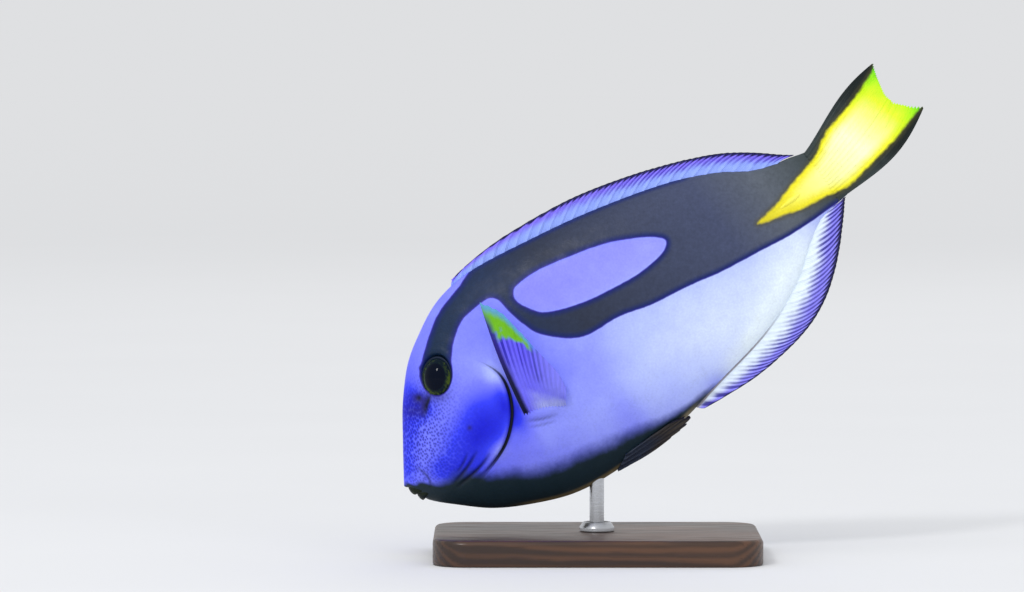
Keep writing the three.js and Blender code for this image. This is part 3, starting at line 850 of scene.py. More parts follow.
@dataclass(frozen=True)
class SkinFinish:
    """The skin's colours, by tone from the deep blue of the cheek to the pale flank at the tail; the
    tone holds painted light and shade as well as the skin's own blue.

    The slate of the dark band goes by station, as a share of slate_length. The keel's line fades in
    and out between the stations of keel_span.
    """

    tones: tuple[Stop, ...] = (
        (0.0, (6, 14, 208)), (0.25, (48, 60, 246)), (0.5, (122, 128, 255)),
        (0.75, (180, 194, 255)), (1.0, (232, 245, 255)),
    )
    slate: tuple[Stop, ...] = (
        (0.18, (14, 38, 66)), (0.32, (24, 42, 74)), (0.42, (38, 46, 66)),
        (0.7, (64, 72, 100)), (0.8, (86, 93, 104)), (0.9, (52, 62, 62)),
    )
    slate_length: float = 200.0
    # Navy: the band's own rim, and painted shadow along the back under the dorsal fin.
    band_rim_and_fin_shadow: Colour = (12, 30, 96)
    band_edge: Colour = (38, 28, 140)
    oval: Colour = (146, 134, 255)
    # The belly's dark colours: part the belly's own darker blue, part painted shade under the body.
    belly: Colour = (22, 40, 50)
    belly_shade_edge: Colour = (38, 52, 120)
    keel: Colour = (116, 104, 74)
    keel_span: tuple[float, float, float, float] = (24.0, 36.0, 92.0, 100.0)
    # Dark patches by the nostrils and below the eye: partly the skin's own marks, partly painted shade.
    blot: Colour = (34, 28, 104)
    speckle: Colour = (22, 24, 140)
    between_pores: Colour = (134, 146, 255)
    pores_per_metre: float = 820.0
    # Painted shade in the folds, the nostrils and the gill opening.
    crease: Colour = (4, 8, 30)
    roughness: float = 0.45

    def build(self, effects: Effects) -> Material:
        """Makes the skin's material.

        Args:
            effects: the shared node groups.

        Returns:
            The material.
        """
        material, paint, shader = new_material("tang_skin")
        spot = paint.where()
        straight = paint.stretched(spot, (1.0, 1.0, 1.0), -PITCH)
        soft = paint.swing(spot, 90.0, 4.0)
        ragged = paint.swing(spot, 420.0, 5.0)

        # The tone: the skin's own blue with painted light and shade.
        tone = paint.plus(paint.read("tone"), paint.times(soft, 0.12))
        pores = paint.rows_of_dots(straight, self.pores_per_metre, ragged)
        speckled = paint.read("speckle")
        dots = paint.times(paint.step(pores, 0.46, 0.14), speckled)
        # Painted shade under the body, over the belly's own darker blue.
        belly = paint.plus(paint.read("belly"), paint.times(ragged, 0.5))
        belly = paint.plus(belly, paint.times(soft, 1.3))
        station = paint.read("station")
        rise, risen, fall, fallen = self.keel_span
        keel = paint.times(paint.step(station, rise, risen), paint.step(station, fallen, fall))
        keel = paint.times(paint.step(paint.read("keel"), 2.0, 0.6), keel)
        band = paint.plus(paint.read("band"), paint.times(ragged, 0.35))
        colour = paint.cover(
            paint.ramp(tone, self.tones),
            (paint.step(paint.read("oval"), 0.2, 1.4, 0.0, 0.3), self.oval),
            (paint.times(paint.step(pores, 0.4, 0.75, 0.0, 0.42), speckled), self.between_pores),
            (paint.times(dots, 0.8), self.speckle),
            (paint.step(belly, 1.6, 0.1, 0.0, 0.75), self.belly_shade_edge),
            (paint.step(belly, 0.55, -0.55), self.belly),
            (keel, self.keel),
            # Dark patches: partly the skin's own marks, partly painted shade below the eye.
            (paint.read("blot"), self.blot),
            (paint.step(band, -0.6, -0.05), self.band_edge),
        )
        slate = paint.ramp(paint.math("DIVIDE", station, self.slate_length), self.slate)
        # The navy line along the back is painted shadow under the dorsal fin; along the band's edge it
        # is the band's own rim.
        rim = paint.math("MINIMUM", band, paint.plus(paint.read("below_back"), 0.3))
        slate = paint.mix(paint.step(rim, 0.1, 2.2), rgb(self.band_rim_and_fin_shadow), slate)
        slate = paint.group(effects.mottle, Color=slate, Place=spot, Scale=700.0, Amount=0.5)
        colour = paint.mix(paint.step(band, -0.25, 0.4), colour, slate)
        colour = paint.group(
            effects.tail_yellow, Ground=colour, Place=spot, Depth=paint.read("wedge"),
            Reach=paint.read("reach"),
        )
        # Painted shade in the gill opening and the folds.
        slit = paint.step(paint.math("ABSOLUTE", paint.read("slit")), 1.15, 0.6)
        slit = paint.times(slit, paint.read("gill_open"))
        colour = paint.cover(colour, (paint.read("crease"), self.crease), (slit, self.crease))
        colour = paint.group(effects.mottle, Color=colour, Place=spot, Scale=260.0, Amount=0.16)
        colour = paint.group(effects.mottle, Color=colour, Place=spot, Scale=1300.0, Amount=0.3)
        paint.feed(shader.inputs["Base Color"], colour)

        shine = paint.noise(spot, 300.0, 4.0)
        dull = paint.step(shine, 0.3, 0.7, self.roughness - 0.08, self.roughness + 0.1)
        paint.feed(shader.inputs["Roughness"], dull)
        scales = paint.group(effects.fine_scales, Place=spot, Scales_per_Metre=1500.0, Strength=0.1)
        paint.feed(shader.inputs["Normal"], paint.bump(dots, 0.25, 0.0002, scales))
        shader.inputs["Specular IOR Level"].default_value = 0.22
        shader.inputs["Coat Weight"].default_value = 0.04
        shader.inputs["Coat Roughness"].default_value = 0.3
        return material


@dataclass
class BodySkin:
    """One closed skin over the head, the gill covers, the torso and the tail stalk.

    Attributes:
        rings: rings from snout to tail.
        spokes: vertices round each ring.
        crowding: above 1 sets the rings closer together towards the snout.
        gill_edge: the rear edge of the gill cover, from top to bottom.
        gill_forward: how far in front of that line the skin's own edge lies.
        gill_lift: how far that edge stands up.
        slit_width: half the width of the gill opening behind it.
        slit_depth: how deep the opening is.
        socket_span: the distances from the eye's middle where its socket begins and ends to fall.
        socket_depth: how far it falls.
        eye_rim: the raised skin round the socket.
        brow: the swelling above the eye.
        brow_rise: how far above the eye's middle it is full.
        nostrils: station, height and radius of each nostril.
        ring_size: the dark ring's size, as the distance from the eye goes by it.
        ring_inset: how far inside it that distance starts.
        ring_radius: the ring's radius as it is painted.
        pectoral_root: the line from which the pectoral fin grows, swollen by pectoral_swell.
        blade_line: the line in which the stalk's blade lies, sunk by blade_groove.
        speckled: where the muzzle's pores show.
        eye_ring: the middle of the dark ring round the eye.
        eye_ellipse: half its width and half its height.
        belly_shade_height: by station, how high the belly's dark colour reaches: part the belly's own
            darker blue and part painted shade under the body.
        belly_shade_softness: how softly it fades there.
        line_end: the stations between which the painted shadow line along the back, under the dorsal
            fin, ends.
        shadow_line_drop: how far below the back the flank behind them counts as lying.
    """

    rings: int = 318
    spokes: int = 300
    crowding: float = 1.5
    gill_edge: Points = (
        (43.5, 25.5), (48.2, 18.5), (50.2, 11.8), (48.6, 4.6), (44.6, -2.2), (37.6, -8.2),
        (28.5, -12), (20, -14.2),
    )
    gill_forward: float = 0.8
    gill_lift: float = 0.65
    slit_width: float = 0.66
    slit_depth: float = 1.0
    socket_span: Pair = (6.2, 4.6)
    socket_depth: float = 3.0
    eye_rim: Swell = Swell(0.5, 7.0, 1.1)
    brow: Swell = Swell(0.5, 9.0, 3.0)
    brow_rise: float = 8.0
    nostrils: tuple[Triple, ...] = ((22.4, 21.8, 1.0), (22.6, 18.0, 0.7))
    ring_size: float = 6.6
    ring_inset: float = 0.3
    ring_radius: float = 6.0
    pectoral_root: Points = (PECTORAL_FRONT, (55.2, -6.8), PECTORAL_REAR)
    pectoral_swell: Swell = Swell(0.9, 0.0, 2.4)
    blade_line: Points = ((159.5, 0.6), (168.5, 0.4))
    blade_groove: Swell = Swell(-0.15, 0.0, 1.3)
    creases: tuple[Crease, ...] = (
        Crease(((7.4, 3.2), (8.3, 1.2), (8.7, -1.5), (8.4, -3.7), (7.4, -5.5)), 0.45, 0.3, 0.65),
        Crease(((26.1, 20.1), (24.9, 19.4), (23.4, 18.4), (20.6, 15.8)), 0.8, 0.35, 1.0),
        Crease(((30.5, -8.0), (26, -9.4), (21, -10.2), (15.5, -10.6)), 0.6, 0.5, 0.9),
        Crease(((27.4, -4.8), (23.5, -6.5), (19.5, -7.8), (15.4, -8.8)), 0.6, 0.45, 0.8),
        Crease(((24.6, -3.4), (21.5, -5.2), (18.2, -6.5)), 0.5, 0.35, 0.6),
        Crease(((33, -9.8), (28, -11.4), (22.5, -12.2)), 0.5, 0.3, 0.5),
        Crease(((47.5, -6.2), (52, -8.6), (57, -10.6)), 0.5, 0.35, 0.5),
        Crease(((47, -8.4), (51, -10.4), (55.5, -12)), 0.45, 0.25, 0.35),
    )
    # Painted light and shade with the skin's own tone: paler where light falls on the rear flank and
    # the top of the gill cover, deeper blue in the shaded cheek and muzzle.
    tone_and_light_washes: tuple[Wash, ...] = (
        Wash(27.4, 21.6, 8.8, 12.0, -0.46, 20),
        Wash(18.5, 11.5, 9.0, 9.0, -0.2, 35),
        Wash(33.4, 14.8, 2.6, 3.6, 0.14, 25),
        Wash(36.5, 28.0, 3.2, 8.5, -0.34, -30),
        Wash(27.5, 39.5, 8.0, 6.5, 0.07),
        Wash(30.6, 38.4, 3.0, 4.6, 0.2, -30),
        Wash(5.0, 28.5, 5.5, 5.0, -0.16),
        Wash(6.6, 6.6, 4.0, 5.0, 0.16),
        Wash(31.4, 12.6, 4.2, 3.6, 0.12, 45),
        Wash(33.4, 23.5, 3.4, 7.0, -0.1, 15),
        Wash(108.5, 35.0, 5.0, 4.0, -0.16),
        Wash(0.0, 22.0, 5.5, 18.0, -0.36),
        Wash(5.5, 27.0, 6.0, 4.5, -0.2),
        Wash(14.0, 6.0, 12.0, 4.5, -0.22),
        Wash(4.0, 6.0, 7.0, 5.0, -0.06),
        Wash(62.0, 42.0, 13.0, 12.0, -0.1),
        Wash(75.0, 36.0, 34.0, 22.0, 0.16),
        Wash(76.0, 26.0, 16.0, 6.0, -0.08, 60),
        Wash(120.0, 58.0, 44.0, 26.0, 0.38),
        Wash(123.8, 55.5, 5.0, 28.0, 0.18, 36),
        Wash(138.0, 82.0, 17.0, 17.0, 0.3),
    )
    # Dark patches by the nostrils and below the eye: partly the skin's own marks, partly painted shade.
    blots: tuple[Wash, ...] = (
        Wash(5.0, 30.8, 2.6, 2.2, 0.9),
        Wash(3.2, 26.2, 2.6, 2.2, 0.55),
        Wash(7.0, 27.6, 1.5, 3.4, 0.75, 15),
        Wash(22.6, 21.0, 0.75, 0.75, 0.9),
        Wash(11.6, 32.4, 3.6, 2.6, 0.7),
    )
    speckled: Wash = Wash(6.8, 17.0, 7.6, 14.0, 1.0, 12)
    eye_ring: Pair = (32.4, 24.8)
    eye_ellipse: Pair = (5.35, 7.3)
    belly_shade_height: Curve = Curve(
        (0.3, 0.3), (1.2, 1.4), (2.6, 4.1), (5.4, 8.2), (7.7, 8.1), (10, 8.3), (13.7, 11),
        (18.3, 14.4), (21, 14.6), (25, 12.9), (32, 12.2), (48, 10.8), (60, 9.3), (72, 7.2),
        (84, 4.4), (94, 2.3), (104, 0.2), (114, -3), (182, -4),
    )
    belly_shade_softness: Curve = Curve(
        (0, 0.7), (6, 1.0), (14, 2.2), (24, 3.2), (60, 3.4), (74, 3), (84, 2.2), (94, 1.5), (182, 1)
    )
    line_end: Pair = (138.0, 158.0)
    shadow_line_drop: float = 12.0

    def _grid(self) -> tuple[Piece, Array, Array, Array]:
        """Draws a ball out into the straight body.

        Returns:
            The piece, its ring and spoke numbers by vertex, and a grid of places, ring by ring.
        """
        piece, share, angle = ball("tang_skin", self.rings, self.spokes)
        ring = np.rint(share * self.rings).astype(int)
        spoke = np.rint(angle / (2 * math.pi / self.spokes)).astype(int) % self.spokes
        along = np.clip((np.arange(self.rings + 1) - 1) / (self.rings - 2), 0, 1)
        x = lerp(FORM.start, FORM.end, along**self.crowding)
        across, up = self._even_section()
        grid = np.empty((self.rings + 1, self.spokes, 3))
        grid[..., 0] = x[:, None]
        grid[..., 1] = FORM.half_width(x)[:, None] * across
        grid[..., 2] = FORM.middle(x)[:, None] + FORM.reach(x)[:, None] * up
        return piece, ring, spoke, grid

    def _even_section(self) -> tuple[Array, Array]:
        """The unit section, with its vertices evenly spaced round a typical flank.

        Returns:
            Each vertex's share of the half width and of the reach.
        """
        flatness = 0.33
        power = 2 / FORM.section_power
        angle = np.linspace(0, 2 * math.pi, 7200)
        across = np.sign(np.cos(angle)) * np.abs(np.cos(angle)) ** power
        up = -np.sign(np.sin(angle)) * np.abs(np.sin(angle)) ** power
        walked = np.concatenate([[0], np.cumsum(np.hypot(flatness * np.diff(across), np.diff(up)))])
        even = np.linspace(0, walked[-1], self.spokes, endpoint=False)
        return np.interp(even, walked, across), np.interp(even, walked, up)

    def _eye_share(self, x: Array, z: Array) -> Array:
        """The distance from the eye's middle, as a share of the dark ring's radius that way."""
        across, up = upright(x - self.eye_ring[0], z - self.eye_ring[1])
        return np.hypot(across / self.eye_ellipse[0], up / self.eye_ellipse[1])

    def _gill(self, x: Array, z: Array) -> tuple[Array, Array, Array]:
        """Measures places against the rear edge of the gill cover.

        Args:
            x: stations.
            z: heights.

        Returns:
            How far they lie ahead of the edge, half the width of the opening behind it at the
            nearest place, and how far it is open there.
        """
        gap, share, hand = line_distance(x, z, spline(self.gill_edge))
        ahead = -gap * hand - self.gill_forward
        opening = lerp(0.4, 1.0, ease(share, 0.16, 0.45))
        closing = lerp(1.0, 0.7, ease(share, 0.7, 1))
        open_part = ease(share, 0.06, 0.36) * (1 - ease(share, 0.74, 1.0))
        return ahead, self.slit_width * opening * closing, open_part

    def _relief(self, x: Array, z: Array) -> tuple[Array, Array]:
        """The skin's lifts and hollows at places of the side view.

        Args:
            x: stations.
            z: heights.

        Returns:
            How far the skin stands out there, and how much painted shade lies in its folds, its
            nostrils and behind the gill cover.
        """
        ahead, width, open_part = self._gill(x, z)
        lift = self.gill_lift * np.exp(-np.maximum(ahead, 0) / 7) * ease(ahead, -0.35, 0.25)
        slit = -self.slit_depth * bell(ahead + width, width)
        out = open_part * (lift + slit)
        # Painted shade just behind the gill cover's edge.
        dark = open_part * 0.3 * bell(ahead + 1.5 * width, 1.7 * width)

        from_eye = self.ring_size * self._eye_share(x, z) - self.ring_inset
        edge, floor = self.socket_span
        out += self.eye_rim.over(from_eye) - self.socket_depth * ease(-from_eye, -edge, -floor)
        out += self.brow.over(from_eye) * ease(z, EYE[1], EYE[1] + self.brow_rise)
        for nx, nz, radius in self.nostrils:
            away = np.hypot(x - nx, z - nz)
            out += 0.16 * bell(away - 1.35 * radius, 0.45) - 0.55 * bell(away, 0.75 * radius)
            # Painted shade in the nostrils.
            dark = np.maximum(dark, 0.9 * bell(away, 0.8 * radius))
        for crease in self.creases:
            away, share, _ = line_distance(x, z, spline(crease.line))
            taper = np.sin(math.pi * np.clip(share, 0.04, 0.96)) ** 0.5
            out -= crease.depth * taper * bell(away, crease.width)
            # Painted shade in the fold.
            dark = np.maximum(dark, crease.shade * taper * bell(away, crease.width))

        away, share, _ = line_distance(x, z, spline(self.pectoral_root))
        out += self.pectoral_swell.over(away) * np.sin(math.pi * np.clip(share, 0.08, 0.92))
        away, _, _ = line_distance(x, z, np.array(self.blade_line))
        out += self.blade_groove.over(away)
        return out, dark

    def _paint(self, piece: Piece, x: Array, z: Array, dark: Array) -> None:
        """Keeps the numbers that the skin's material reads.

        Args:
            piece: the skin.
            x: the vertices' stations.
            z: their heights.
            dark: how much painted shade lies in the folds there.
        """
        above_belly = z - FORM.belly(x)
        eye_ring = self.ring_radius * (1 - self._eye_share(x, z))
        ahead, width, open_part = self._gill(x, z)
        # The skin's own tone with painted light and shade.
        tone = 0.5 + sum(wash.over(x, z) for wash in self.tone_and_light_washes)
        # A painted highlight along the gill cover's edge.
        tone += 0.06 * open_part * bell(ahead - 0.9, 0.9)
        keep(
            piece,
            tone=tone,
            oval=MARKINGS.oval_depth(x, z),
            blot=sum(blot.over(x, z) for blot in self.blots),
            speckle=self.speckled.over(x, z) ** 0.6,
            band=np.maximum(MARKINGS.band_depth(x, z), eye_ring),
            wedge=MARKINGS.wedge_depth(x, z),
            station=x,
            reach=MARKINGS.tail_reach(x, z),
            # The belly's own darker blue with painted shade under the body.
            belly=(above_belly - self.belly_shade_height(x)) / self.belly_shade_softness(x),
            # Painted shadow along the back, under the dorsal fin.
            below_back=FORM.back(x) - z + self.shadow_line_drop * ease(x, *self.line_end),
            keel=above_belly,
            crease=np.clip(dark, 0, 1),
            slit=(ahead + width) / width,
            gill_open=open_part,
        )

    def build(self, material: Material) -> Piece:
        """Makes the skin.

        Args:
            material: the skin's material.

        Returns:
            The piece.
        """
        piece, ring, spoke, grid = self._grid()
        along_body = np.gradient(grid, axis=0)
        wrapped = np.concatenate([grid[:, -1:], grid, grid[:, :1]], axis=1)
        around = (wrapped[:, 2:] - wrapped[:, :-2]) / 2
        normal = np.cross(along_body, around)
        normal /= np.linalg.norm(normal, axis=2, keepdims=True) + 1e-12
        outward = np.sign(np.sum(normal[..., 1] * grid[..., 1]))
        relief, dark = self._relief(grid[..., 0], grid[..., 2])
        shaped = grid + outward * normal * relief[..., None]
        shaped[0] = (FORM.start - 0.2, 0.0, FORM.middle(FORM.start))
        shaped[-1] = (FORM.end + 1.2, 0.0, FORM.middle(FORM.end))
        shape_to(piece, to_row_frame(shaped[ring, spoke]))
        turn_outwards(piece)
        smooth(piece)
        self._paint(piece, grid[ring, spoke, 0], grid[ring, spoke, 2], dark[ring, spoke])
        nodes = ("head", "torso", "tail_stalk", "gill_cover_left", "gill_cover_right")
        place(piece, material, "skin_flank", *nodes)
        return piece


# Fins


DARK_RIM: Colour = (12, 12, 34)
FAR_OFF = 9.0


class FinPattern(Enum):
    """How a fin's colours are laid out."""

    EDGED = "edged"
    FORKED = "forked"
    TIPPED = "tipped"
    PLAIN = "plain"


@dataclass(frozen=True)
class TippedColours:
    """The pectoral fins' rear, fleshy base, tip band with its rim, and end of the first ray."""

    rear: Colour = (154, 160, 255)
    base: Colour = (186, 194, 255)
    tip: Colour = (112, 186, 26)
    rim: Colour = (84, 150, 220)
    ray_end: Colour = (40, 28, 130)


@dataclass(frozen=True)
class FinFinish:
    """A fin's colours.

    Attributes:
        name: the material's name.
        pattern: how the colours are laid out.
        root: the colour where it grows.
        outer: the colour of its outer half.
        edge: the colour of its edge.
        streak: the colour of the dark streaks between its rays.
        edge_start: the share of its height at which the edge begins.
        shift: how far the outer colours reach towards the root, as a share of its height.
        streaks: how strong the streaks are.
        streaks_from: the share of its length at which they begin.
        streaks_to: the share at which they end.
        evenness: the strength of the weakest streak against the strongest.
        base_line: the colour of the fine line where it leaves the skin.
        line_strength: how strong that line is.
        line_end: the share of its length at which the line ends.
        tipped: the colours of a tipped fin.
    """

    name: str
    pattern: FinPattern
    root: Colour
    outer: Colour
    edge: Colour
    streak: Colour
    edge_start: float = 0.9
    shift: float = 0.0
    streaks: float = 0.8
    streaks_from: float = -1.0
    streaks_to: float = 2.0
    evenness: float = 0.7
    base_line: Colour = (20, 24, 60)
    line_strength: float = 0.0
    line_end: float = 1.0
    tipped: TippedColours = TippedColours()

    def build(self, effects: Effects) -> Material:
        """Makes the fin's material.

        Args:
            effects: the shared node groups.

        Returns:
            The material.
        """
        material, paint, shader = new_material(self.name)
        spot = paint.where()
        height = paint.read("height")
        wobble = paint.times(paint.swing(spot, 260.0, 3.0), 0.25)
        wavy = paint.plus(paint.plus(height, wobble), self.shift)
        groove = paint.read("groove")
        colour = paint.mix(paint.step(wavy, 0.35, 0.75), rgb(self.root), rgb(self.outer))
        between = paint.times(paint.step(groove, 0.25, 0.75), paint.step(wavy, 0.28, 0.62))
        across = paint.read("across")
        weakest = self.evenness * self.streaks
        strength = paint.step(paint.read("uneven"), -1.0, 1.0, weakest, self.streaks)
        begins = paint.step(across, self.streaks_from, self.streaks_from + 0.4)
        ends = paint.step(across, self.streaks_to, self.streaks_to - 0.4)
        strength = paint.times(paint.times(strength, begins), ends)
        colour = paint.mix(paint.times(between, strength), colour, rgb(self.streak))
        if self.pattern is FinPattern.FORKED:
            colour = paint.group(
                effects.tail_yellow, Ground=colour, Place=spot, Depth=paint.read("wedge"),
                Reach=paint.read("reach"),
            )
        elif self.pattern is FinPattern.TIPPED:
            colour = self._tipped(paint, colour, wavy)
        else:
            toothed = paint.plus(height, paint.times(groove, 0.09))
            edge = paint.step(toothed, self.edge_start - 0.04, self.edge_start + 0.09)
            line = paint.step(paint.read("above"), 0.75, 0.35, 0.0, self.line_strength)
            line = paint.times(line, paint.step(across, self.line_end, self.line_end - 0.3))
            rim = paint.step(height, 0.93, 1.0)
            colour = paint.cover(colour, (edge, self.edge), (rim, DARK_RIM), (line, self.base_line))
        colour = paint.group(effects.mottle, Color=colour, Place=spot, Scale=500.0, Amount=0.25)
        paint.feed(shader.inputs["Base Color"], colour)
        scales = paint.group(effects.fine_scales, Place=spot, Scales_per_Metre=2400.0, Strength=0.12)
        fine_rays = paint.math("SINE", paint.times(paint.read("strand"), 2 * math.pi))
        paint.feed(shader.inputs["Normal"], paint.bump(fine_rays, 0.25, 0.00012, scales))
        shader.inputs["Roughness"].default_value = 0.4
        shader.inputs["Specular IOR Level"].default_value = 0.2
        shader.inputs["Coat Weight"].default_value = 0.04
        shader.inputs["Coat Roughness"].default_value = 0.3
        return material

    def _tipped(self, paint: Paint, colour: Socket, wavy: Socket) -> Socket:
        """A dark first ray, a pale fleshy base, a green band along the tip and a pale blue rear.

        Args:
            paint: the material's node layout.
            colour: the membrane with its streaks.
            wavy: the share of the height, slightly uneven.

        Returns:
            The fin's colour.
        """
        across = paint.read("across")
        height = paint.read("height")
        base = paint.times(paint.step(wavy, 0.34, 0.08, 0.0, 0.85), paint.step(across, 0.12, 0.5))
        slanted = paint.math("SUBTRACT", wavy, paint.times(across, 0.3))
        tip = paint.times(paint.step(slanted, 0.68, 0.76), paint.step(across, 0.56, 0.46))
        rim = paint.times(paint.step(height, 0.9, 0.99, 0.0, 0.8), paint.step(across, 0.64, 0.5))
        colour = paint.cover(
            colour,
            (paint.step(across, 0.35, 0.9, 0.0, 0.5), self.tipped.rear),
            (base, self.tipped.base),
            (tip, self.tipped.tip),
            (rim, self.tipped.rim),
        )
        widening = paint.plus(across, paint.times(wavy, 0.1))
        first = paint.times(paint.step(widening, 0.17, 0.08), paint.step(height, 0.99, 0.8))
        ray = paint.mix(paint.step(height, 0.25, 0.75), rgb(self.edge), rgb(self.tipped.ray_end))
        return paint.mix(first, colour, ray)


@dataclass
class RayedFin:
    """A thin fin held out by rays that stand up on both of its faces.

    Attributes:
        name: the piece's name, which is also its node's name.
        slot: the name of a material slot, passed on to place.
        surface: the fin's middle surface: its place on the straight fish, from the share of the way
            from the first ray to the last and the share from root to tip.
        rays: how many rays it has.
        spines: how many of the first rays are stout spines.
        membrane: thickness between the rays.
        ray_thickness: thickness of a ray at its root.
        fleshy: extra thickness at the root.
        flesh_fade: the share of that thickness left, by share of the height.
        oval_root: whether that thickness swells in the middle of the root, as the tail stalk does.
        scallop: how far the membrane's edge draws back between two rays, as a share of its height.
        branches: share of the height at which a ray begins to branch.
        ridge_width: how broad the rays are against the usual.
        paired_streaks: whether two streaks lie between two rays and not one.
        ripple: how far the membrane waves from side to side.
        rows: rows of vertices from root to tip.
        columns: columns of vertices from one ray to the next.
        fin_height: a typical height of the fin.
        over_skin: how far places of the side view stand over the skin's outline there.
        strands: fine lines from one ray to the next.
        random_seed: sets how uneven the rays are.
    """

    name: str
    slot: str
    surface: Callable[[Array, Array], Array]
    rays: int
    spines: int = 0
    membrane: float = 0.5
    ray_thickness: float = 1.15
    fleshy: float = 0.0
    flesh_fade: Curve = Curve((0, 1), (0.1, 0.6), (0.2, 0.2), (0.3, 0), (1, 0))
    oval_root: bool = False
    scallop: float = 0.05
    branches: float = 0.45
    ridge_width: float = 1.0
    paired_streaks: bool = True
    ripple: float = 0.12
    rows: int = 36
    columns: int = 10
    fin_height: float = 8.0
    over_skin: Callable[[Array, Array], Array] = lambda x, z: np.full_like(x, FAR_OFF)
    strands: int = 6
    random_seed: int = 7

    def _ridges(self, across: Array, height: Array) -> Array:
        """How much of a ray's height stands at each place: 1 on a ray's crest and 0 between two."""
        count = across * (self.rays - 1)
        nearest = np.rint(count)
        offset = count - nearest
        stout = nearest < self.spines
        split = np.where(stout, 0.0, 0.25 * ease(height, self.branches, 1.0))
        width = self.ridge_width * np.where(stout, 0.2, lerp(0.17, 0.09, height))
        return np.maximum(bell(offset - split, width), bell(offset + split, width))

    def build(self, material: Material) -> None:
        """Makes the fin in its material."""
        piece = start_piece(
            self.name + "_skin", bpy.ops.mesh.primitive_grid_add,
            x_subdivisions=self.columns * (self.rays - 1), y_subdivisions=self.rows, size=1.0,
        )
        flat = places(piece)
        across = np.clip(flat[:, 0] + 0.5, 0, 1)
        height = np.clip(flat[:, 1] + 0.5, 0, 1)
        ridge = self._ridges(across, height)
        random = np.random.default_rng(self.random_seed)
        count = across * (self.rays - 1)
        uneven = np.interp(count, np.arange(self.rays), random.uniform(-1, 1, self.rays))
        stout = np.rint(count) < self.spines
        single = 0.5 - 0.5 * np.cos(2 * math.pi * count)
        paired = 0.5 + 0.5 * np.cos(4 * math.pi * count)
        groove = np.where(stout | (not self.paired_streaks), single, paired)
        reach = 1 - self.scallop * groove * (1 + 0.5 * uneven) - 0.25 * self.scallop * (1 + uneven)
        points = self.surface(across, height * reach)
        wave = np.sin(count * 2 * math.pi * 0.37 + 3 * uneven) * height**1.5
        facing = self._facing(across, height)
        points = points + facing * (self.ripple * wave)[:, None]
        shape_to(piece, points * MM)

        ray = self.ray_thickness * np.where(stout, 1.35, 1.0) * lerp(1.0, 0.6, height)
        ray = np.maximum(self.membrane, ray)
        flesh = self.fleshy * self.flesh_fade(height)
        if self.oval_root:
            power = FORM.section_power
            flesh *= (1 - np.abs(2 * across - 1) ** power) ** (1 / power)
        thickness = self.membrane + (ray - self.membrane) * ridge + flesh
        rim = np.minimum(1.0, 0.35 + (1 - height) * self.fin_height / 0.8)
        thickness = thickness * rim
        side_view = points[:, 0], points[:, 2]
        keep(
            piece,
            groove=groove,
            reach=MARKINGS.tail_reach(*side_view),
            height=height,
            across=across,
            uneven=uneven,
            above=self.over_skin(*side_view),
            strand=count * self.strands,
            wedge=MARKINGS.wedge_depth(*side_view),
        )
        self._thicken(piece, thickness)
        shape_to(piece, to_row_frame(places(piece) / MM))
        smooth(piece)
        place(piece, material, self.slot, self.name)

    def _facing(self, across: Array, height: Array) -> Array:
        """The direction square to the fin's surface."""
        step = 0.004
        low_a, high_a = np.clip(across - step, 0, 1), np.clip(across + step, 0, 1)
        low_h, high_h = np.clip(height - step, 0, 1), np.clip(height + step, 0, 1)
        along = self.surface(high_a, height) - self.surface(low_a, height)
        up = self.surface(across, high_h) - self.surface(across, low_h)
        facing = np.cross(along, up)
        return facing / np.linalg.norm(facing, axis=1, keepdims=True)

    @staticmethod
    def _thicken(piece: Piece, thickness: Array) -> None:
        """Gives the flat fin its thickness, vertex by vertex.

        Args:
            piece: the fin as a sheet.
            thickness: its thickness at each vertex, in millimetres.
        """
        most = float(thickness.max())
        group = piece.vertex_groups.new(name="thickness")
        for index, value in enumerate(thickness / most):
            group.add([index], float(value), "REPLACE")
        finish_with(
            piece, "SOLIDIFY", thickness=most * MM, offset=0.0, use_even_offset=False,
            vertex_group="thickness", thickness_vertex_group=0.0,
        )
        piece.vertex_groups.clear()


@dataclass(frozen=True)
class SweptEdge:
    """A fin along the back or belly, swept back from its root line to its outer edge.

    Attributes:
        root: the body's line that it grows from.
        edge: the height of its outer edge, by station.
        root_span: the stations of the first and last ray's roots.
        tip_span: the stations of their tips.
        outward: 1 on the back and -1 on the belly.
        sweep: how much further back the middle rays reach.
        end_bow: how far the rays at both of its ends arch outwards.
        bow: how far those in its middle do.
        sunk: how deep the roots lie in the body.
    """

    root: Curve
    edge: Curve
    root_span: Pair
    tip_span: Pair
    outward: int
    end_bow: float = 0.9
    bow: float = 0.9
    sweep: float = 8.0
    sunk: float = 1.6

    def __call__(self, across: Array, height: Array) -> Array:
        """The fin's middle surface on the straight fish."""
        root_x = lerp(*self.root_span, across)
        tip_x = lerp(*self.tip_span, across) + self.sweep * np.abs(np.sin(math.pi * across)) ** 0.8
        root_z = self.root(root_x) - self.outward * self.sunk
        x = lerp(root_x, tip_x, height)
        arch = lerp(self.end_bow, self.bow, np.sin(math.pi * across))
        z = lerp(root_z, self.edge(tip_x), height) + self.outward * arch * np.sin(math.pi * height)
        return np.stack([x, np.zeros_like(x), z], axis=1)

    def over_skin(self, x: Array, z: Array) -> Array:
        """How far places stand over the body's line."""
        return self.outward * (z - self.root(x))


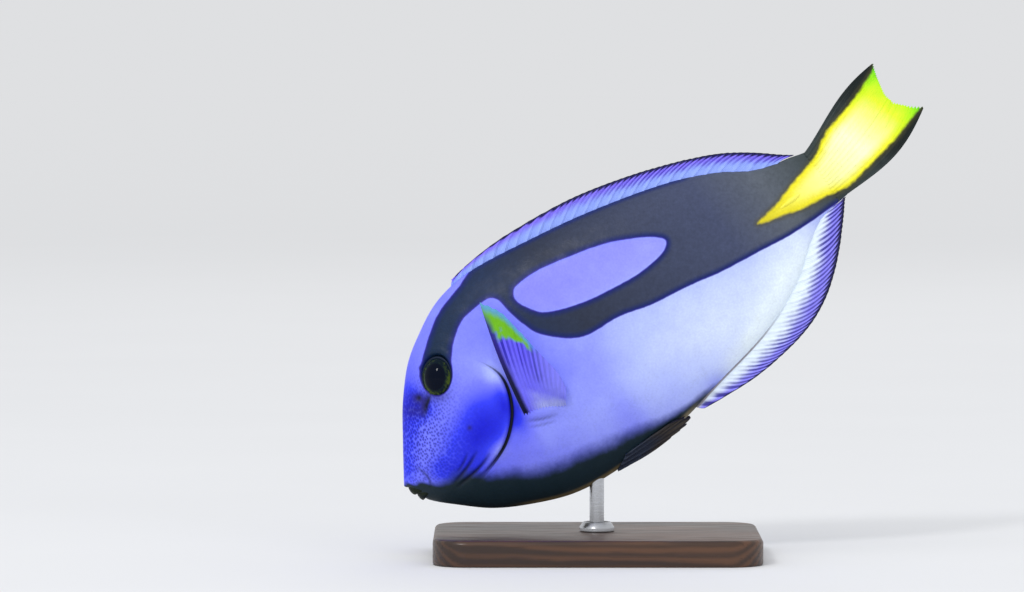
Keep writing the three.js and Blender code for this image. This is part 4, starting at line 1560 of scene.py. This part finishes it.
@dataclass(frozen=True)
class TailFan:
    """The half-folded tail fin, from its lower corner to its upper one."""

    root_x: float = 178.0
    lower_tip: Pair = (222.0, -2.0)
    upper_tip: Pair = (216.6, 20.6)
    notch_x: float = 213.6
    lower_flare: float = 3.7
    upper_flare: float = 2.6

    def __call__(self, across: Array, height: Array) -> Array:
        """The fan's middle surface on the straight fish."""
        low_root = float(FORM.belly(self.root_x)) + 0.4
        high_root = float(FORM.back(self.root_x)) - 0.4
        root_z = lerp(low_root, high_root, across)
        low = np.maximum(0, 1 - across / 0.42) ** 1.6
        high = np.maximum(0, (across - 0.5) / 0.5) ** 1.8
        lower_corner = (self.lower_tip[0] - self.notch_x) * low
        upper_corner = (self.upper_tip[0] - self.notch_x) * high
        tip_x = self.notch_x + lower_corner + upper_corner
        tip_z = lerp(self.lower_tip[1], self.upper_tip[1], across)
        flare = lerp(-self.lower_flare, self.upper_flare, across) * np.sin(math.pi * height**1.3)
        x = lerp(self.root_x, tip_x, height)
        z = lerp(root_z, tip_z, height**1.15) + flare
        return np.stack([x, np.zeros_like(x), z], axis=1)


@dataclass(frozen=True)
class PairedBlade:
    """A pectoral or pelvic fin, from its root line on the flank to its tips.

    Attributes:
        side: the flank that it grows from.
        front: station and height of the first ray's root.
        rear: station and height of the last ray's root.
        tips: stations, heights and distances off the flank or the middle plane of the tips.
        sunk: how deep the roots lie in the body.
        off_flank: whether the tips are measured from the flank.
        bulge: how far the fin bows outwards.
        bow: how far its first rays bow forwards.
        dip: how far its first rays bow downwards.
    """

    side: Side
    front: Pair
    rear: Pair
    tips: tuple[Triple, ...]
    sunk: float
    off_flank: bool
    bulge: float
    bow: float = 0.0
    dip: float = 0.0

    def __call__(self, across: Array, height: Array) -> Array:
        """The blade's middle surface on the straight fish."""
        x = lerp(self.front[0], self.rear[0], across)
        z = lerp(self.front[1], self.rear[1], across)
        root = np.stack([x, FORM.flank(x, z) - self.sunk, z], axis=1)
        line = spline(self.tips, steps=24)
        walked = np.concatenate([[0], np.cumsum(np.linalg.norm(np.diff(line, axis=0), axis=1))])
        even = across * walked[-1]
        tip_x, tip_z, tip_y = (np.interp(even, walked, line[:, i]) for i in range(3))
        tip = np.stack([tip_x, tip_y + root[:, 1] * self.off_flank, tip_z], axis=1)
        point = lerp(root, tip, height[:, None])
        swell = np.sin(math.pi * height)
        point[:, 0] -= self.bow * (1 - across) * swell
        point[:, 1] += self.bulge * np.sin(math.pi * height**0.7)
        point[:, 2] -= self.dip * (1 - across) * swell
        point[:, 1] *= self.side.value
        return point


@dataclass(frozen=True)
class Fins:
    """All the fins of the fish: their edges by station, their roots and tips, and their finishes."""

    dorsal_edge: Curve = Curve(
        (54, 46.6), (61, 48.2), (72, 48.9), (84, 48.3), (104, 45.7), (124, 40.4), (142, 33.8),
        (156, 26.9), (165, 20.4), (172, 14.4), (176, 11.2),
    )
    anal_edge: Curve = Curve(
        (95, -39.2), (106, -40.6), (120, -41.6), (134, -40.6), (146, -38.2), (156, -33.6),
        (165, -27), (173, -19.4), (181, -10.6),
    )
    tail_flesh: Curve = Curve(
        (0, 0.8), (0.04, 0.86), (0.105, 0.72), (0.2, 0.38), (0.32, 0.1), (0.44, 0), (1, 0)
    )
    pectoral_tips: tuple[Triple, ...] = (
        (59.2, 36.2, 7.5), (62.8, 29.5, 9.0), (64.2, 20.2, 9.8), (65.3, 10.0, 9.0),
        (66.2, 1.8, 7.4), (65.4, -4.4, 5.4),
    )
    pelvic_root: Points = ((62.6, -38.6), (68, -36))
    pelvic_tips: tuple[Triple, ...] = (
        (84, -40.6, 1.2), (92.5, -40, 2.2), (93.5, -38.2, 3.6), (88, -36.4, 5.4),
    )

    violet: FinFinish = FinFinish(
        "dorsal_membrane", FinPattern.EDGED, root=(148, 172, 255), outer=(132, 116, 250),
        edge=(22, 20, 82), streak=(54, 34, 176), edge_start=0.84, streaks_from=0.2,
    )
    # The anal fin's near-white root is painted light, as on the pale rear flank.
    pale: FinFinish = FinFinish(
        "anal_membrane", FinPattern.EDGED, root=(230, 243, 255), outer=(142, 136, 248),
        edge=(22, 20, 74), streak=(38, 30, 138), edge_start=0.86, shift=0.1, streaks=0.9,
        base_line=(112, 92, 100), line_strength=0.75, line_end=0.62,
    )
    yellow: FinFinish = FinFinish(
        "tail_membrane", FinPattern.FORKED, root=(48, 58, 58), outer=(18, 28, 27),
        edge=(28, 34, 36), streak=(14, 22, 22), streaks=0.4,
    )
    blue: FinFinish = FinFinish(
        "pectoral_membrane", FinPattern.TIPPED, root=(116, 112, 255), outer=(106, 96, 255),
        edge=(2, 6, 56), streak=(34, 26, 168), streaks=0.95, streaks_to=1.15, evenness=0.3,
    )
    brown: FinFinish = FinFinish(
        "pelvic_membrane", FinPattern.PLAIN, root=(40, 48, 66), outer=(62, 56, 50),
        edge=(24, 22, 24), streak=(30, 30, 40), edge_start=0.95,
    )

    def build(self, effects: Effects) -> None:
        """Makes every fin, with materials from the shared node groups."""
        dorsal = SweptEdge(
            FORM.back, self.dorsal_edge, root_span=(53, 166), tip_span=(56, 175.6), outward=1
        )
        anal = SweptEdge(
            FORM.belly, self.anal_edge, root_span=(96, 171), tip_span=(99, 181), outward=-1,
            end_bow=0.5, bow=2.6, sweep=14.0,
        )
        RayedFin(
            "dorsal_fin", "fin_violet", dorsal, rays=28, spines=9, columns=14, scallop=0.02,
            over_skin=dorsal.over_skin,
        ).build(self.violet.build(effects))
        RayedFin(
            "anal_fin", "fin_violet", anal, rays=21, spines=3, columns=16, scallop=0.012,
            over_skin=anal.over_skin,
        ).build(self.pale.build(effects))
        RayedFin(
            "tail_fin", "fin_yellow", TailFan(), rays=16, rows=64, columns=16, scallop=0.012,
            ray_thickness=0.95, ridge_width=1.6, fin_height=38, branches=0.3, fleshy=4.5,
            oval_root=True, flesh_fade=self.tail_flesh,
        ).build(self.yellow.build(effects))
        blue = self.blue.build(effects)
        brown = self.brown.build(effects)
        for side in Side:
            pectoral = PairedBlade(
                side, PECTORAL_FRONT, PECTORAL_REAR, self.pectoral_tips, sunk=1.7, off_flank=True,
                bulge=2.6, bow=1,
            )
            pelvic = PairedBlade(
                side, *self.pelvic_root, self.pelvic_tips, sunk=0.4, off_flank=False, bulge=0.8,
                dip=0.8,
            )
            RayedFin(
                "pectoral_fin_" + side.label, "fin_violet", pectoral, rays=15, rows=60, fleshy=2.0,
                scallop=0.008, fin_height=36, branches=0.4, ridge_width=1.3, paired_streaks=False,
            ).build(blue)
            RayedFin(
                "pelvic_fin_" + side.label, "fin_violet", pelvic, rays=4, spines=1, rows=40,
                fleshy=0.8, columns=14, fin_height=24,
            ).build(brown)


# Eyes, lips and blades


@dataclass(frozen=True)
class EyeFinish:
    """The eye's colours: a black pupil in a dark olive iris."""

    pupil: Colour = (1, 8, 26)
    iris: Colour = (6, 22, 34)
    iris_rim: Colour = (66, 84, 24)
    surround: Colour = (5, 14, 26)

    def build(self) -> Material:
        """Makes the eye's material."""
        material, paint, shader = new_material("tang_eye")
        radius = paint.read("radius")
        fine = paint.noise(paint.where(), 1100.0, 4.0)
        fibres = paint.plus(fine, paint.noise(paint.where(), 160.0, 2.0))
        olive = paint.times(paint.step(fibres, 0.85, 1.25), paint.step(radius, 0.62, 0.78))
        iris = paint.mix(olive, rgb(self.iris), rgb(self.iris_rim))
        colour = paint.mix(paint.step(radius, 0.6, 0.66), rgb(self.pupil), iris)
        colour = paint.mix(paint.step(radius, 0.86, 0.92), colour, rgb(self.surround))
        paint.feed(shader.inputs["Base Color"], colour)
        shader.inputs["Roughness"].default_value = 0.07
        shader.inputs["Specular IOR Level"].default_value = 0.09
        return material


@dataclass
class Eye:
    """An eyeball sunk in its socket, and the soft rim round it.

    The clear front swells out by cornea over a share of the radius, and the rim follows the flank back
    by up to rim_reach. The eye's width and height go by stretch.
    """

    side: Side
    radius: float = 6.6
    depth: float = 4.4
    sunk: float = 2.2
    cornea: float = 0.45
    cornea_width: float = 0.62
    rim_radius: float = 6.05
    rim_thickness: float = 0.42
    rim_reach: float = 1.2
    stretch: Pair = (0.88, 1.1)

    def build(self, eye: Material, skin: Material) -> None:
        """Makes the eyeball and its rim.

        Args:
            eye: the eyeball's material.
            skin: the rim's material.
        """
        spot, facing = FORM.spot(*EYE, self.side)
        upwards = Vector((math.sin(PITCH), 0, math.cos(PITCH)))
        upwards = (upwards - upwards.dot(facing) * facing).normalized()
        sideways = upwards.cross(facing)
        turn = np.array([sideways * self.stretch[0], upwards * self.stretch[1], facing]).T
        add = bpy.ops.mesh.primitive_uv_sphere_add
        eyeball = start_piece("eyeball_" + self.side.label, add, segments=72, ring_count=48, radius=1.0)
        unit = places(eyeball)
        away = np.hypot(unit[:, 0], unit[:, 1])
        front = unit[:, 2] > 0
        solid = unit * (self.radius, self.radius, self.depth)
        solid[:, 2] += np.where(front, self.cornea * bell(away, self.cornea_width), 0.0)
        centre = np.array(spot) - self.sunk * np.array(facing)
        shape_to(eyeball, to_row_frame(solid @ turn.T + centre))
        keep(eyeball, radius=np.where(front, away, 1.0))
        smooth(eyeball)
        place(eyeball, eye, "eye", "eye_" + self.side.label)

        rim = start_piece(
            "eye_rim_" + self.side.label, bpy.ops.mesh.primitive_torus_add, major_segments=96,
            minor_segments=16, major_radius=self.rim_radius, minor_radius=self.rim_thickness,
        )
        ring = places(rim) @ turn.T + np.array(spot)
        lift = self.side.value * FORM.flank(ring[:, 0], ring[:, 2]) - spot[1]
        level = (ring - np.array(spot)) @ np.array(facing)
        planar = ring - level[:, None] * np.array(facing)
        drop = self.side.value * (planar[:, 1] - spot[1] - lift)
        ring = ring - np.minimum(drop, self.rim_reach)[:, None] * np.array(facing)
        shape_to(rim, to_row_frame(ring))
        # crease lays painted shade on the rim.
        keep(
            rim, band=3.0, crease=0.6, station=30.0, wedge=-FAR_OFF, oval=-FAR_OFF,
            below_back=FAR_OFF, belly=FAR_OFF, keel=FAR_OFF, slit=FAR_OFF,
        )
        smooth(rim)
        place(rim, skin, "skin_blue")


@dataclass(frozen=True)
class LipFinish:
    """Soft dark lips with an olive cast."""

    lip: Colour = (12, 22, 28)
    worn: Colour = (34, 42, 20)

    def build(self, effects: Effects) -> Material:
        """Makes the lips' material from the shared node groups."""
        material, paint, shader = new_material("tang_lip")
        spot = paint.where()
        patches = paint.step(paint.noise(spot, 350.0), 0.3, 0.75)
        colour = paint.mix(patches, rgb(self.lip), rgb(self.worn))
        paint.feed(shader.inputs["Base Color"], colour)
        scales = paint.group(effects.fine_scales, Place=spot, Scales_per_Metre=2200.0, Strength=0.12)
        paint.feed(shader.inputs["Normal"], scales)
        shader.inputs["Roughness"].default_value = 0.4
        shader.inputs["Specular IOR Level"].default_value = 0.12
        return material


@dataclass
class Lip:
    """A lip that runs round the front of the muzzle from one corner of the mouth to the other.

    Attributes:
        node: the node that it stands for.
        front: station of its middle at the front.
        length: how far back its corners lie from there.
        height: height of its middle at the front.
        radius: half its height there.
        corner: height of its corners.
        half_width: how far its corners lie from the middle plane.
        swell: how far it swells forwards, as a share of half its height.
        sunk: how far it reaches back into the muzzle, as the same share.
        taper: share of the radius left at the corners.
    """

    node: str
    front: float
    length: float
    height: float
    radius: float
    corner: float
    half_width: float = 3.4
    swell: float = 0.42
    sunk: float = 1.1
    taper: float = 0.12

    def build(self, material: Material) -> None:
        """Makes the lip in its material."""
        piece, share, angle = ball(self.node + "_soft", 64, 24)
        turn = (2 * share - 1) * math.pi / 2
        ahead = np.maximum(0.0, np.cos(turn))
        closing = np.sqrt(np.clip(1 - np.abs(2 * share - 1) ** 14, 0, 1))
        thick = self.radius * (self.taper + (1 - self.taper) * ahead**0.7) * closing
        out = np.where(np.cos(angle) > 0, self.swell, self.sunk) * thick * np.cos(angle)
        x = self.front + self.length * (1 - ahead) - ahead * out
        y = self.half_width * np.sin(turn) + np.sin(turn) * out
        z = lerp(self.corner, self.height, ahead**0.8) + thick * np.sin(angle)
        shape_to(piece, to_row_frame(np.stack([x, y, z], axis=1)))
        turn_outwards(piece)
        smooth(piece)
        place(piece, material, "lip", self.node)


@dataclass
class StalkBlade:
    """The sharp blade folded forward into its groove on one side of the tail stalk.

    Its front end is point times as high as its rear, and it is painted as deep in the yellow wedge as
    yellow says.
    """

    side: Side
    x: float = 164.0
    length: float = 9.0
    height: float = 2.0
    proud: float = 0.9
    sunk: float = 0.2
    point: float = 0.55
    yellow: float = 3.0

    def build(self, material: Material) -> None:
        """Makes the blade in its material."""
        piece, share, angle = ball("stalk_blade_skin_" + self.side.label, 40, 20)
        z = float(FORM.middle(self.x))
        along = (share - 0.5) * self.length
        swell = np.sqrt(np.clip(1 - (2 * share - 1) ** 2, 0, 1)) * lerp(self.point, 1.0, share)
        station = self.x + along
        out = FORM.flank(station, np.full_like(station, z)) - self.sunk
        out = out + swell * (self.proud + self.sunk) * np.cos(angle)
        up = z + swell * self.height / 2 * np.sin(angle)
        shape_to(piece, to_row_frame(np.stack([station, self.side.value * out, up], axis=1)))
        turn_outwards(piece)
        smooth(piece)
        keep(piece, wedge=self.yellow, reach=station)
        place(piece, material, "fin_yellow", "stalk_blade_" + self.side.label)


# The stand


@dataclass(frozen=True)
class WoodFinish:
    """Dark oiled wood, cut along its rings, whose heart lies below the block."""

    dark: Colour = (46, 28, 17)
    light: Colour = (88, 56, 34)
    pore: Colour = (22, 12, 8)
    heart: Triple = (0.0, 0.02, -0.05)
    rings: float = 2600.0

    def build(self, effects: Effects) -> Material:
        """Makes the wood's material from the shared node groups."""
        material, paint, shader = new_material("stand_wood")
        spot = paint.where()
        figure = paint.noise(paint.stretched(spot, (14.0, 60.0, 60.0)), 1.0, 4.0)
        pores = paint.noise(paint.stretched(spot, (60.0, 1500.0, 1500.0)), 1.0, 3.0)
        heart = paint.node("Mapping", spot, vector_type="TEXTURE")
        heart.inputs["Location"].default_value = self.heart
        axes = paint.node("SeparateXYZ", heart.outputs[0]).outputs
        squares = [paint.times(axes[axis], axes[axis]) for axis in ("Y", "Z")]
        away = paint.math("SQRT", paint.plus(*squares))
        rings = paint.plus(paint.times(away, self.rings), paint.times(figure, 14.0))
        share = paint.plus(paint.times(paint.math("SINE", rings), 0.16), figure)
        colour = paint.mix(paint.step(share, 0.25, 0.8), rgb(self.dark), rgb(self.light))
        colour = paint.mix(paint.step(pores, 0.56, 0.7, 0.0, 0.35), colour, rgb(self.pore))
        colour = paint.group(effects.mottle, Color=colour, Place=spot, Scale=40.0, Amount=0.3)
        paint.feed(shader.inputs["Base Color"], colour)
        paint.feed(shader.inputs["Roughness"], paint.step(pores, 0.4, 0.75, 0.34, 0.6))
        paint.feed(shader.inputs["Normal"], paint.bump(pores, 0.12, 0.0003))
        shader.inputs["Coat Weight"].default_value = 0.15
        shader.inputs["Coat Roughness"].default_value = 0.3
        return material


@dataclass(frozen=True)
class SteelFinish:
    """Brushed steel with fine lines round the rod."""

    steel: Colour = (196, 198, 202)

    def build(self) -> Material:
        """Makes the material."""
        material, paint, shader = new_material("stand_steel")
        brushed = paint.noise(paint.stretched(paint.where(), (90.0, 90.0, 5200.0)), 1.0, 3.0)
        shader.inputs["Base Color"].default_value = rgb(self.steel)
        shader.inputs["Metallic"].default_value = 1.0
        paint.feed(shader.inputs["Roughness"], paint.step(brushed, 0.3, 0.7, 0.22, 0.4))
        paint.feed(shader.inputs["Normal"], paint.bump(brushed, 0.08, 0.0002))
        return material


@dataclass
class Stand:
    """A flat wooden base, a turned steel collar and the rod that carries the belly, in metres.

    Attributes:
        corner: the radius of the base's corners.
        edge: the radius of its top edge.
        shoulder: how far the collar's wall leans in above its upright foot.
        shoulder_foot: that foot's height, as a share of the collar's.
        collar_edge: the radius of the collar's upper edges.
        clear: the gap round the rod.
        seat: how far the rod reaches into the belly's skin.
        touch: how near to a level a place counts as lying on it.
        rod_insets: the rings cut into the rod's ends, as shares of its radius.
    """

    corner: float = 0.012
    edge: float = 0.0016
    rod_radius: float = 0.0025
    collar_radius: float = 0.006
    shoulder: float = 0.0012
    shoulder_foot: float = 0.4
    collar_edge: float = 0.00025
    clear: float = 0.0002
    seat: float = 0.0002
    touch: float = 1e-5
    rod_insets: tuple[float, ...] = (0.35, 0.35, 0.25)

    def build(self, effects: Effects, body: Piece) -> None:
        """Makes the stand.

        Args:
            effects: the shared node groups.
            body: the fish's skin, which the rod carries.
        """
        steel = SteelFinish().build()
        self._base(WoodFinish().build(effects))
        self._collar(steel)
        self._rod(steel, body)

    def _base(self, wood: Material) -> None:
        """The base: a block with round corners, a soft top edge and a finer one below."""
        low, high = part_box("stand_base")
        size = high - low
        piece = start_piece(
            "stand_base_wood", bpy.ops.mesh.primitive_cube_add, size=1.0, location=(low + high) / 2,
            scale=size,
        )
        bpy.ops.object.transform_apply(location=True, rotation=True, scale=True)
        top, bottom = high.z - self.touch, low.z + self.touch
        self._bevel(piece, lambda a, b: abs(a.z - b.z) > size.z / 2, self.corner, 12)
        self._bevel(piece, lambda a, b: a.z > top and b.z > top, self.edge, 5)
        self._bevel(piece, lambda a, b: a.z < bottom and b.z < bottom, self.edge / 2, 3)
        smooth(piece, 40)
        place(piece, wood, "base_wood", "stand_base")

    @staticmethod
    def _bevel(
        piece: Piece, chosen: Callable[[Vector, Vector], bool], width: float, segments: int
    ) -> None:
        """Rounds the edges whose two ends pass a test.

        Args:
            piece: the piece.
            chosen: says of an edge's two ends whether it is rounded.
            width: how far the rounding reaches.
            segments: its steps.
        """
        focus(piece)
        bpy.ops.object.mode_set(mode="EDIT")
        bpy.ops.mesh.select_mode(type="EDGE")
        bpy.ops.mesh.select_all(action="DESELECT")
        bpy.ops.object.mode_set(mode="OBJECT")
        vertices = piece.data.vertices
        for edge in piece.data.edges:
            edge.select = chosen(*(vertices[i].co for i in edge.vertices))
        bpy.ops.object.mode_set(mode="EDIT")
        bpy.ops.mesh.bevel(offset=width, segments=segments, profile=0.5)
        end_edit()

    def _collar(self, steel: Material) -> None:
        """The collar: a disc with a raised ring round the rod."""
        low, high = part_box("stand_collar")
        middle = (low + high) / 2
        tall = high.z - low.z
        piece = start_piece(
            "stand_collar_steel", bpy.ops.mesh.primitive_cylinder_add, vertices=72,
            radius=self.collar_radius, depth=tall, location=middle,
        )
        bpy.ops.object.transform_apply(location=True)
        edit_faces(piece, lambda face: face.normal.z > 0.9)
        bpy.ops.mesh.inset(thickness=self.shoulder)
        bpy.ops.mesh.inset(thickness=self.collar_radius - self.shoulder - self.rod_radius - self.clear)
        end_edit()
        points = places(piece)
        away = np.hypot(points[:, 0] - middle.x, points[:, 1] - middle.y)
        outer = (points[:, 2] > high.z - self.touch) & (away > self.collar_radius - self.touch)
        points[outer, 2] = low.z + self.shoulder_foot * tall
        shape_to(piece, points)
        bottom = low.z + self.touch
        self._bevel(piece, lambda a, b: a.z > bottom and b.z > bottom, self.collar_edge, 3)
        smooth(piece, 35)
        place(piece, steel, "rod_steel", "stand_collar")

    def _rod(self, steel: Material, body: Piece) -> None:
        """The rod, whose top is cut to the belly that it carries.

        Args:
            steel: its material.
            body: the fish's skin.
        """
        low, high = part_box("stand_rod")
        middle = (low + high) / 2
        piece = start_piece(
            "stand_rod_steel", bpy.ops.mesh.primitive_cylinder_add, vertices=64,
            radius=self.rod_radius, depth=high.z - low.z, location=middle,
        )
        bpy.ops.object.transform_apply(location=True)
        edit_faces(piece, lambda face: abs(face.normal.z) > 0.9)
        for step in self.rod_insets:
            bpy.ops.mesh.inset(thickness=step * self.rod_radius)
        end_edit()
        corners = [vertex.co for vertex in body.data.vertices]
        belly = BVHTree.FromPolygons(corners, [face.vertices for face in body.data.polygons])
        for vertex in piece.data.vertices:
            if vertex.co.z > middle.z:
                foot = Vector((vertex.co.x, vertex.co.y, low.z))
                hit = belly.ray_cast(foot, Vector((0, 0, 1)))[0]
                vertex.co.z = hit.z + self.seat
        smooth(piece, 35)
        place(piece, steel, "rod_steel", "stand_rod")


# The studio


FISH_HEIGHT = 0.08


@dataclass(frozen=True)
class Lamp:
    """A soft light that faces the middle of the fish.

    Attributes:
        name: its name.
        spot: where it hangs.
        size: how wide its disc is, or over how many degrees an even light from afar spreads.
        power: its power in watts, or the even light's strength.
        far: whether it is an even light from afar.
        mirrored: whether it shows in glossy surfaces.
    """

    name: str
    spot: Triple
    size: float
    power: float
    far: bool = False
    mirrored: bool = False

    def hang(self) -> None:
        """Adds the light to the scene."""
        data = bpy.data.lights.new(self.name, "SUN" if self.far else "AREA")
        data.energy = self.power
        if self.far:
            data.angle = math.radians(self.size)
        else:
            data.shape = "DISK"
            data.size = self.size
        light = bpy.data.objects.new(self.name, data)
        light.visible_glossy = self.mirrored
        light.location = self.spot
        middle = Vector((0.0, 0.0, 0.0 if self.far else FISH_HEIGHT))
        light.rotation_euler = (middle - Vector(self.spot)).to_track_quat("-Z", "Y").to_euler()
        bpy.context.collection.objects.link(light)


@dataclass
class Studio:
    """The pale floor, the soft lights and the camera.

    Attributes:
        pixel: the size of one pixel of the photograph's frame at the fish, in millimetres.
        snout_pixel: where the snout lies in that frame.
        image: the frame's width and height in pixels.
        lens: the camera's focal length over a 36 mm sensor.
        elevation: how far the camera looks down, in degrees.
        ambient: the strength of the light from all round.
        air: its colour.
        haze: the shares of the way to the horizon at which the floor begins to fade into it, and
            at which nothing else is left.
        stand_off: how far in front of the fish the camera stands.
        floor_tones: the floor's two close colours.
    """

    pixel: float = 180 / 525
    snout_pixel: Pair = (404.0, 487.0)
    image: tuple[int, int] = (1024, 592)
    lens: float = 200.0
    sensor: float = 36.0
    elevation: float = 2.5
    ambient: float = 0.76
    air: Triple = (0.97, 0.98, 1.0)
    haze: Pair = (0.02, 0.9)
    stand_off: float = 1.95
    floor_tones: tuple[Colour, Colour] = ((224, 225, 227), (228, 229, 231))
    floor_radius: float = 60.0
    lamps: tuple[Lamp, ...] = (
        Lamp("key", (-1.0, -1.9, 1.7), 0.45, 17.0, mirrored=True),
        Lamp("fill", (1.6, -2.0, 0.8), 1.4, 6.0),
        Lamp("back", (0.4, 2.2, 1.6), 1.4, 7.0),
        Lamp("sky", (-0.35, -0.6, 1.0), 50.0, 0.6, far=True),
    )

    def build(self) -> None:
        """Makes the floor, the lights and the camera."""
        scene = bpy.context.scene
        scene.view_settings.view_transform = "Standard"
        self._camera(scene)
        self._floor()
        for lamp in self.lamps:
            lamp.hang()
        world = bpy.data.worlds.new("studio")
        world.use_nodes = True
        background = world.node_tree.nodes["Background"]
        background.inputs["Color"].default_value = (*self.air, 1.0)
        background.inputs["Strength"].default_value = self.ambient
        scene.world = world

    def _camera(self, scene: bpy.types.Scene) -> None:
        """Sets the camera so that the fish fills the frame as in the photograph."""
        x = SNOUT[0] + (self.image[0] / 2 - self.snout_pixel[0]) * self.pixel
        z = SNOUT[2] + (self.snout_pixel[1] - self.image[1] / 2) * self.pixel
        width = self.image[0] * self.pixel * MM
        tilt = math.radians(self.elevation)
        back = Vector((0.0, -math.cos(tilt), math.sin(tilt)))
        target = Vector((x * MM, 0.0, z * MM))
        camera = bpy.data.objects.new("camera", bpy.data.cameras.new("camera"))
        camera.data.lens = self.lens
        camera.data.sensor_width = self.sensor
        camera.data.clip_start = 0.05
        camera.location = target + back * (width * self.lens / self.sensor)
        camera.rotation_euler = (-back).to_track_quat("-Z", "Y").to_euler()
        bpy.context.collection.objects.link(camera)
        scene.camera = camera

    def _floor(self) -> None:
        """A wide pale floor that fades into the light behind it."""
        floor = start_piece(
            "floor", bpy.ops.mesh.primitive_circle_add, vertices=96, radius=self.floor_radius,
            fill_type="NGON",
        )
        material, paint, shader = new_material("floor_pale")
        spot = paint.where()
        pale = paint.mix(paint.noise(spot, 6.0, 2.0), *map(rgb, self.floor_tones))
        beyond = paint.math("MAXIMUM", paint.node("SeparateXYZ", spot).outputs["Y"], 0.0)
        share = paint.math("DIVIDE", beyond, paint.plus(beyond, self.stand_off))
        far = paint.step(share, *self.haze)
        paint.feed(shader.inputs["Base Color"], paint.mix(far, pale, BLACK))
        paint.feed(shader.inputs["Emission Color"], paint.mix(far, BLACK, (*self.air, 1.0)))
        shader.inputs["Emission Strength"].default_value = self.ambient
        shader.inputs["Roughness"].default_value = 1.0
        shader.inputs["Specular IOR Level"].default_value = 0.0
        floor.data.materials.append(material)


def main() -> None:
    """Builds the fish, its stand and the studio in order."""
    logging.basicConfig(level=logging.INFO, format="%(name)s %(message)s")
    Studio().build()
    effects = Effects()
    skin = SkinFinish().build(effects)
    body = BodySkin().build(skin)
    Fins().build(effects)
    lip = LipFinish().build(effects)
    Lip("upper_lip", front=1.5, length=4.2, height=-2.6, radius=1.9, corner=-5.0).build(lip)
    Lip("lower_lip", front=2.7, length=3.8, height=-5.8, radius=1.85, corner=-6.0).build(lip)
    eye = EyeFinish().build()
    blade = bpy.data.materials["tail_membrane"]
    for side in Side:
        Eye(side).build(eye, skin)
        StalkBlade(side).build(blade)
    Stand().build(effects, body)


if __name__ == "__main__":
    main()
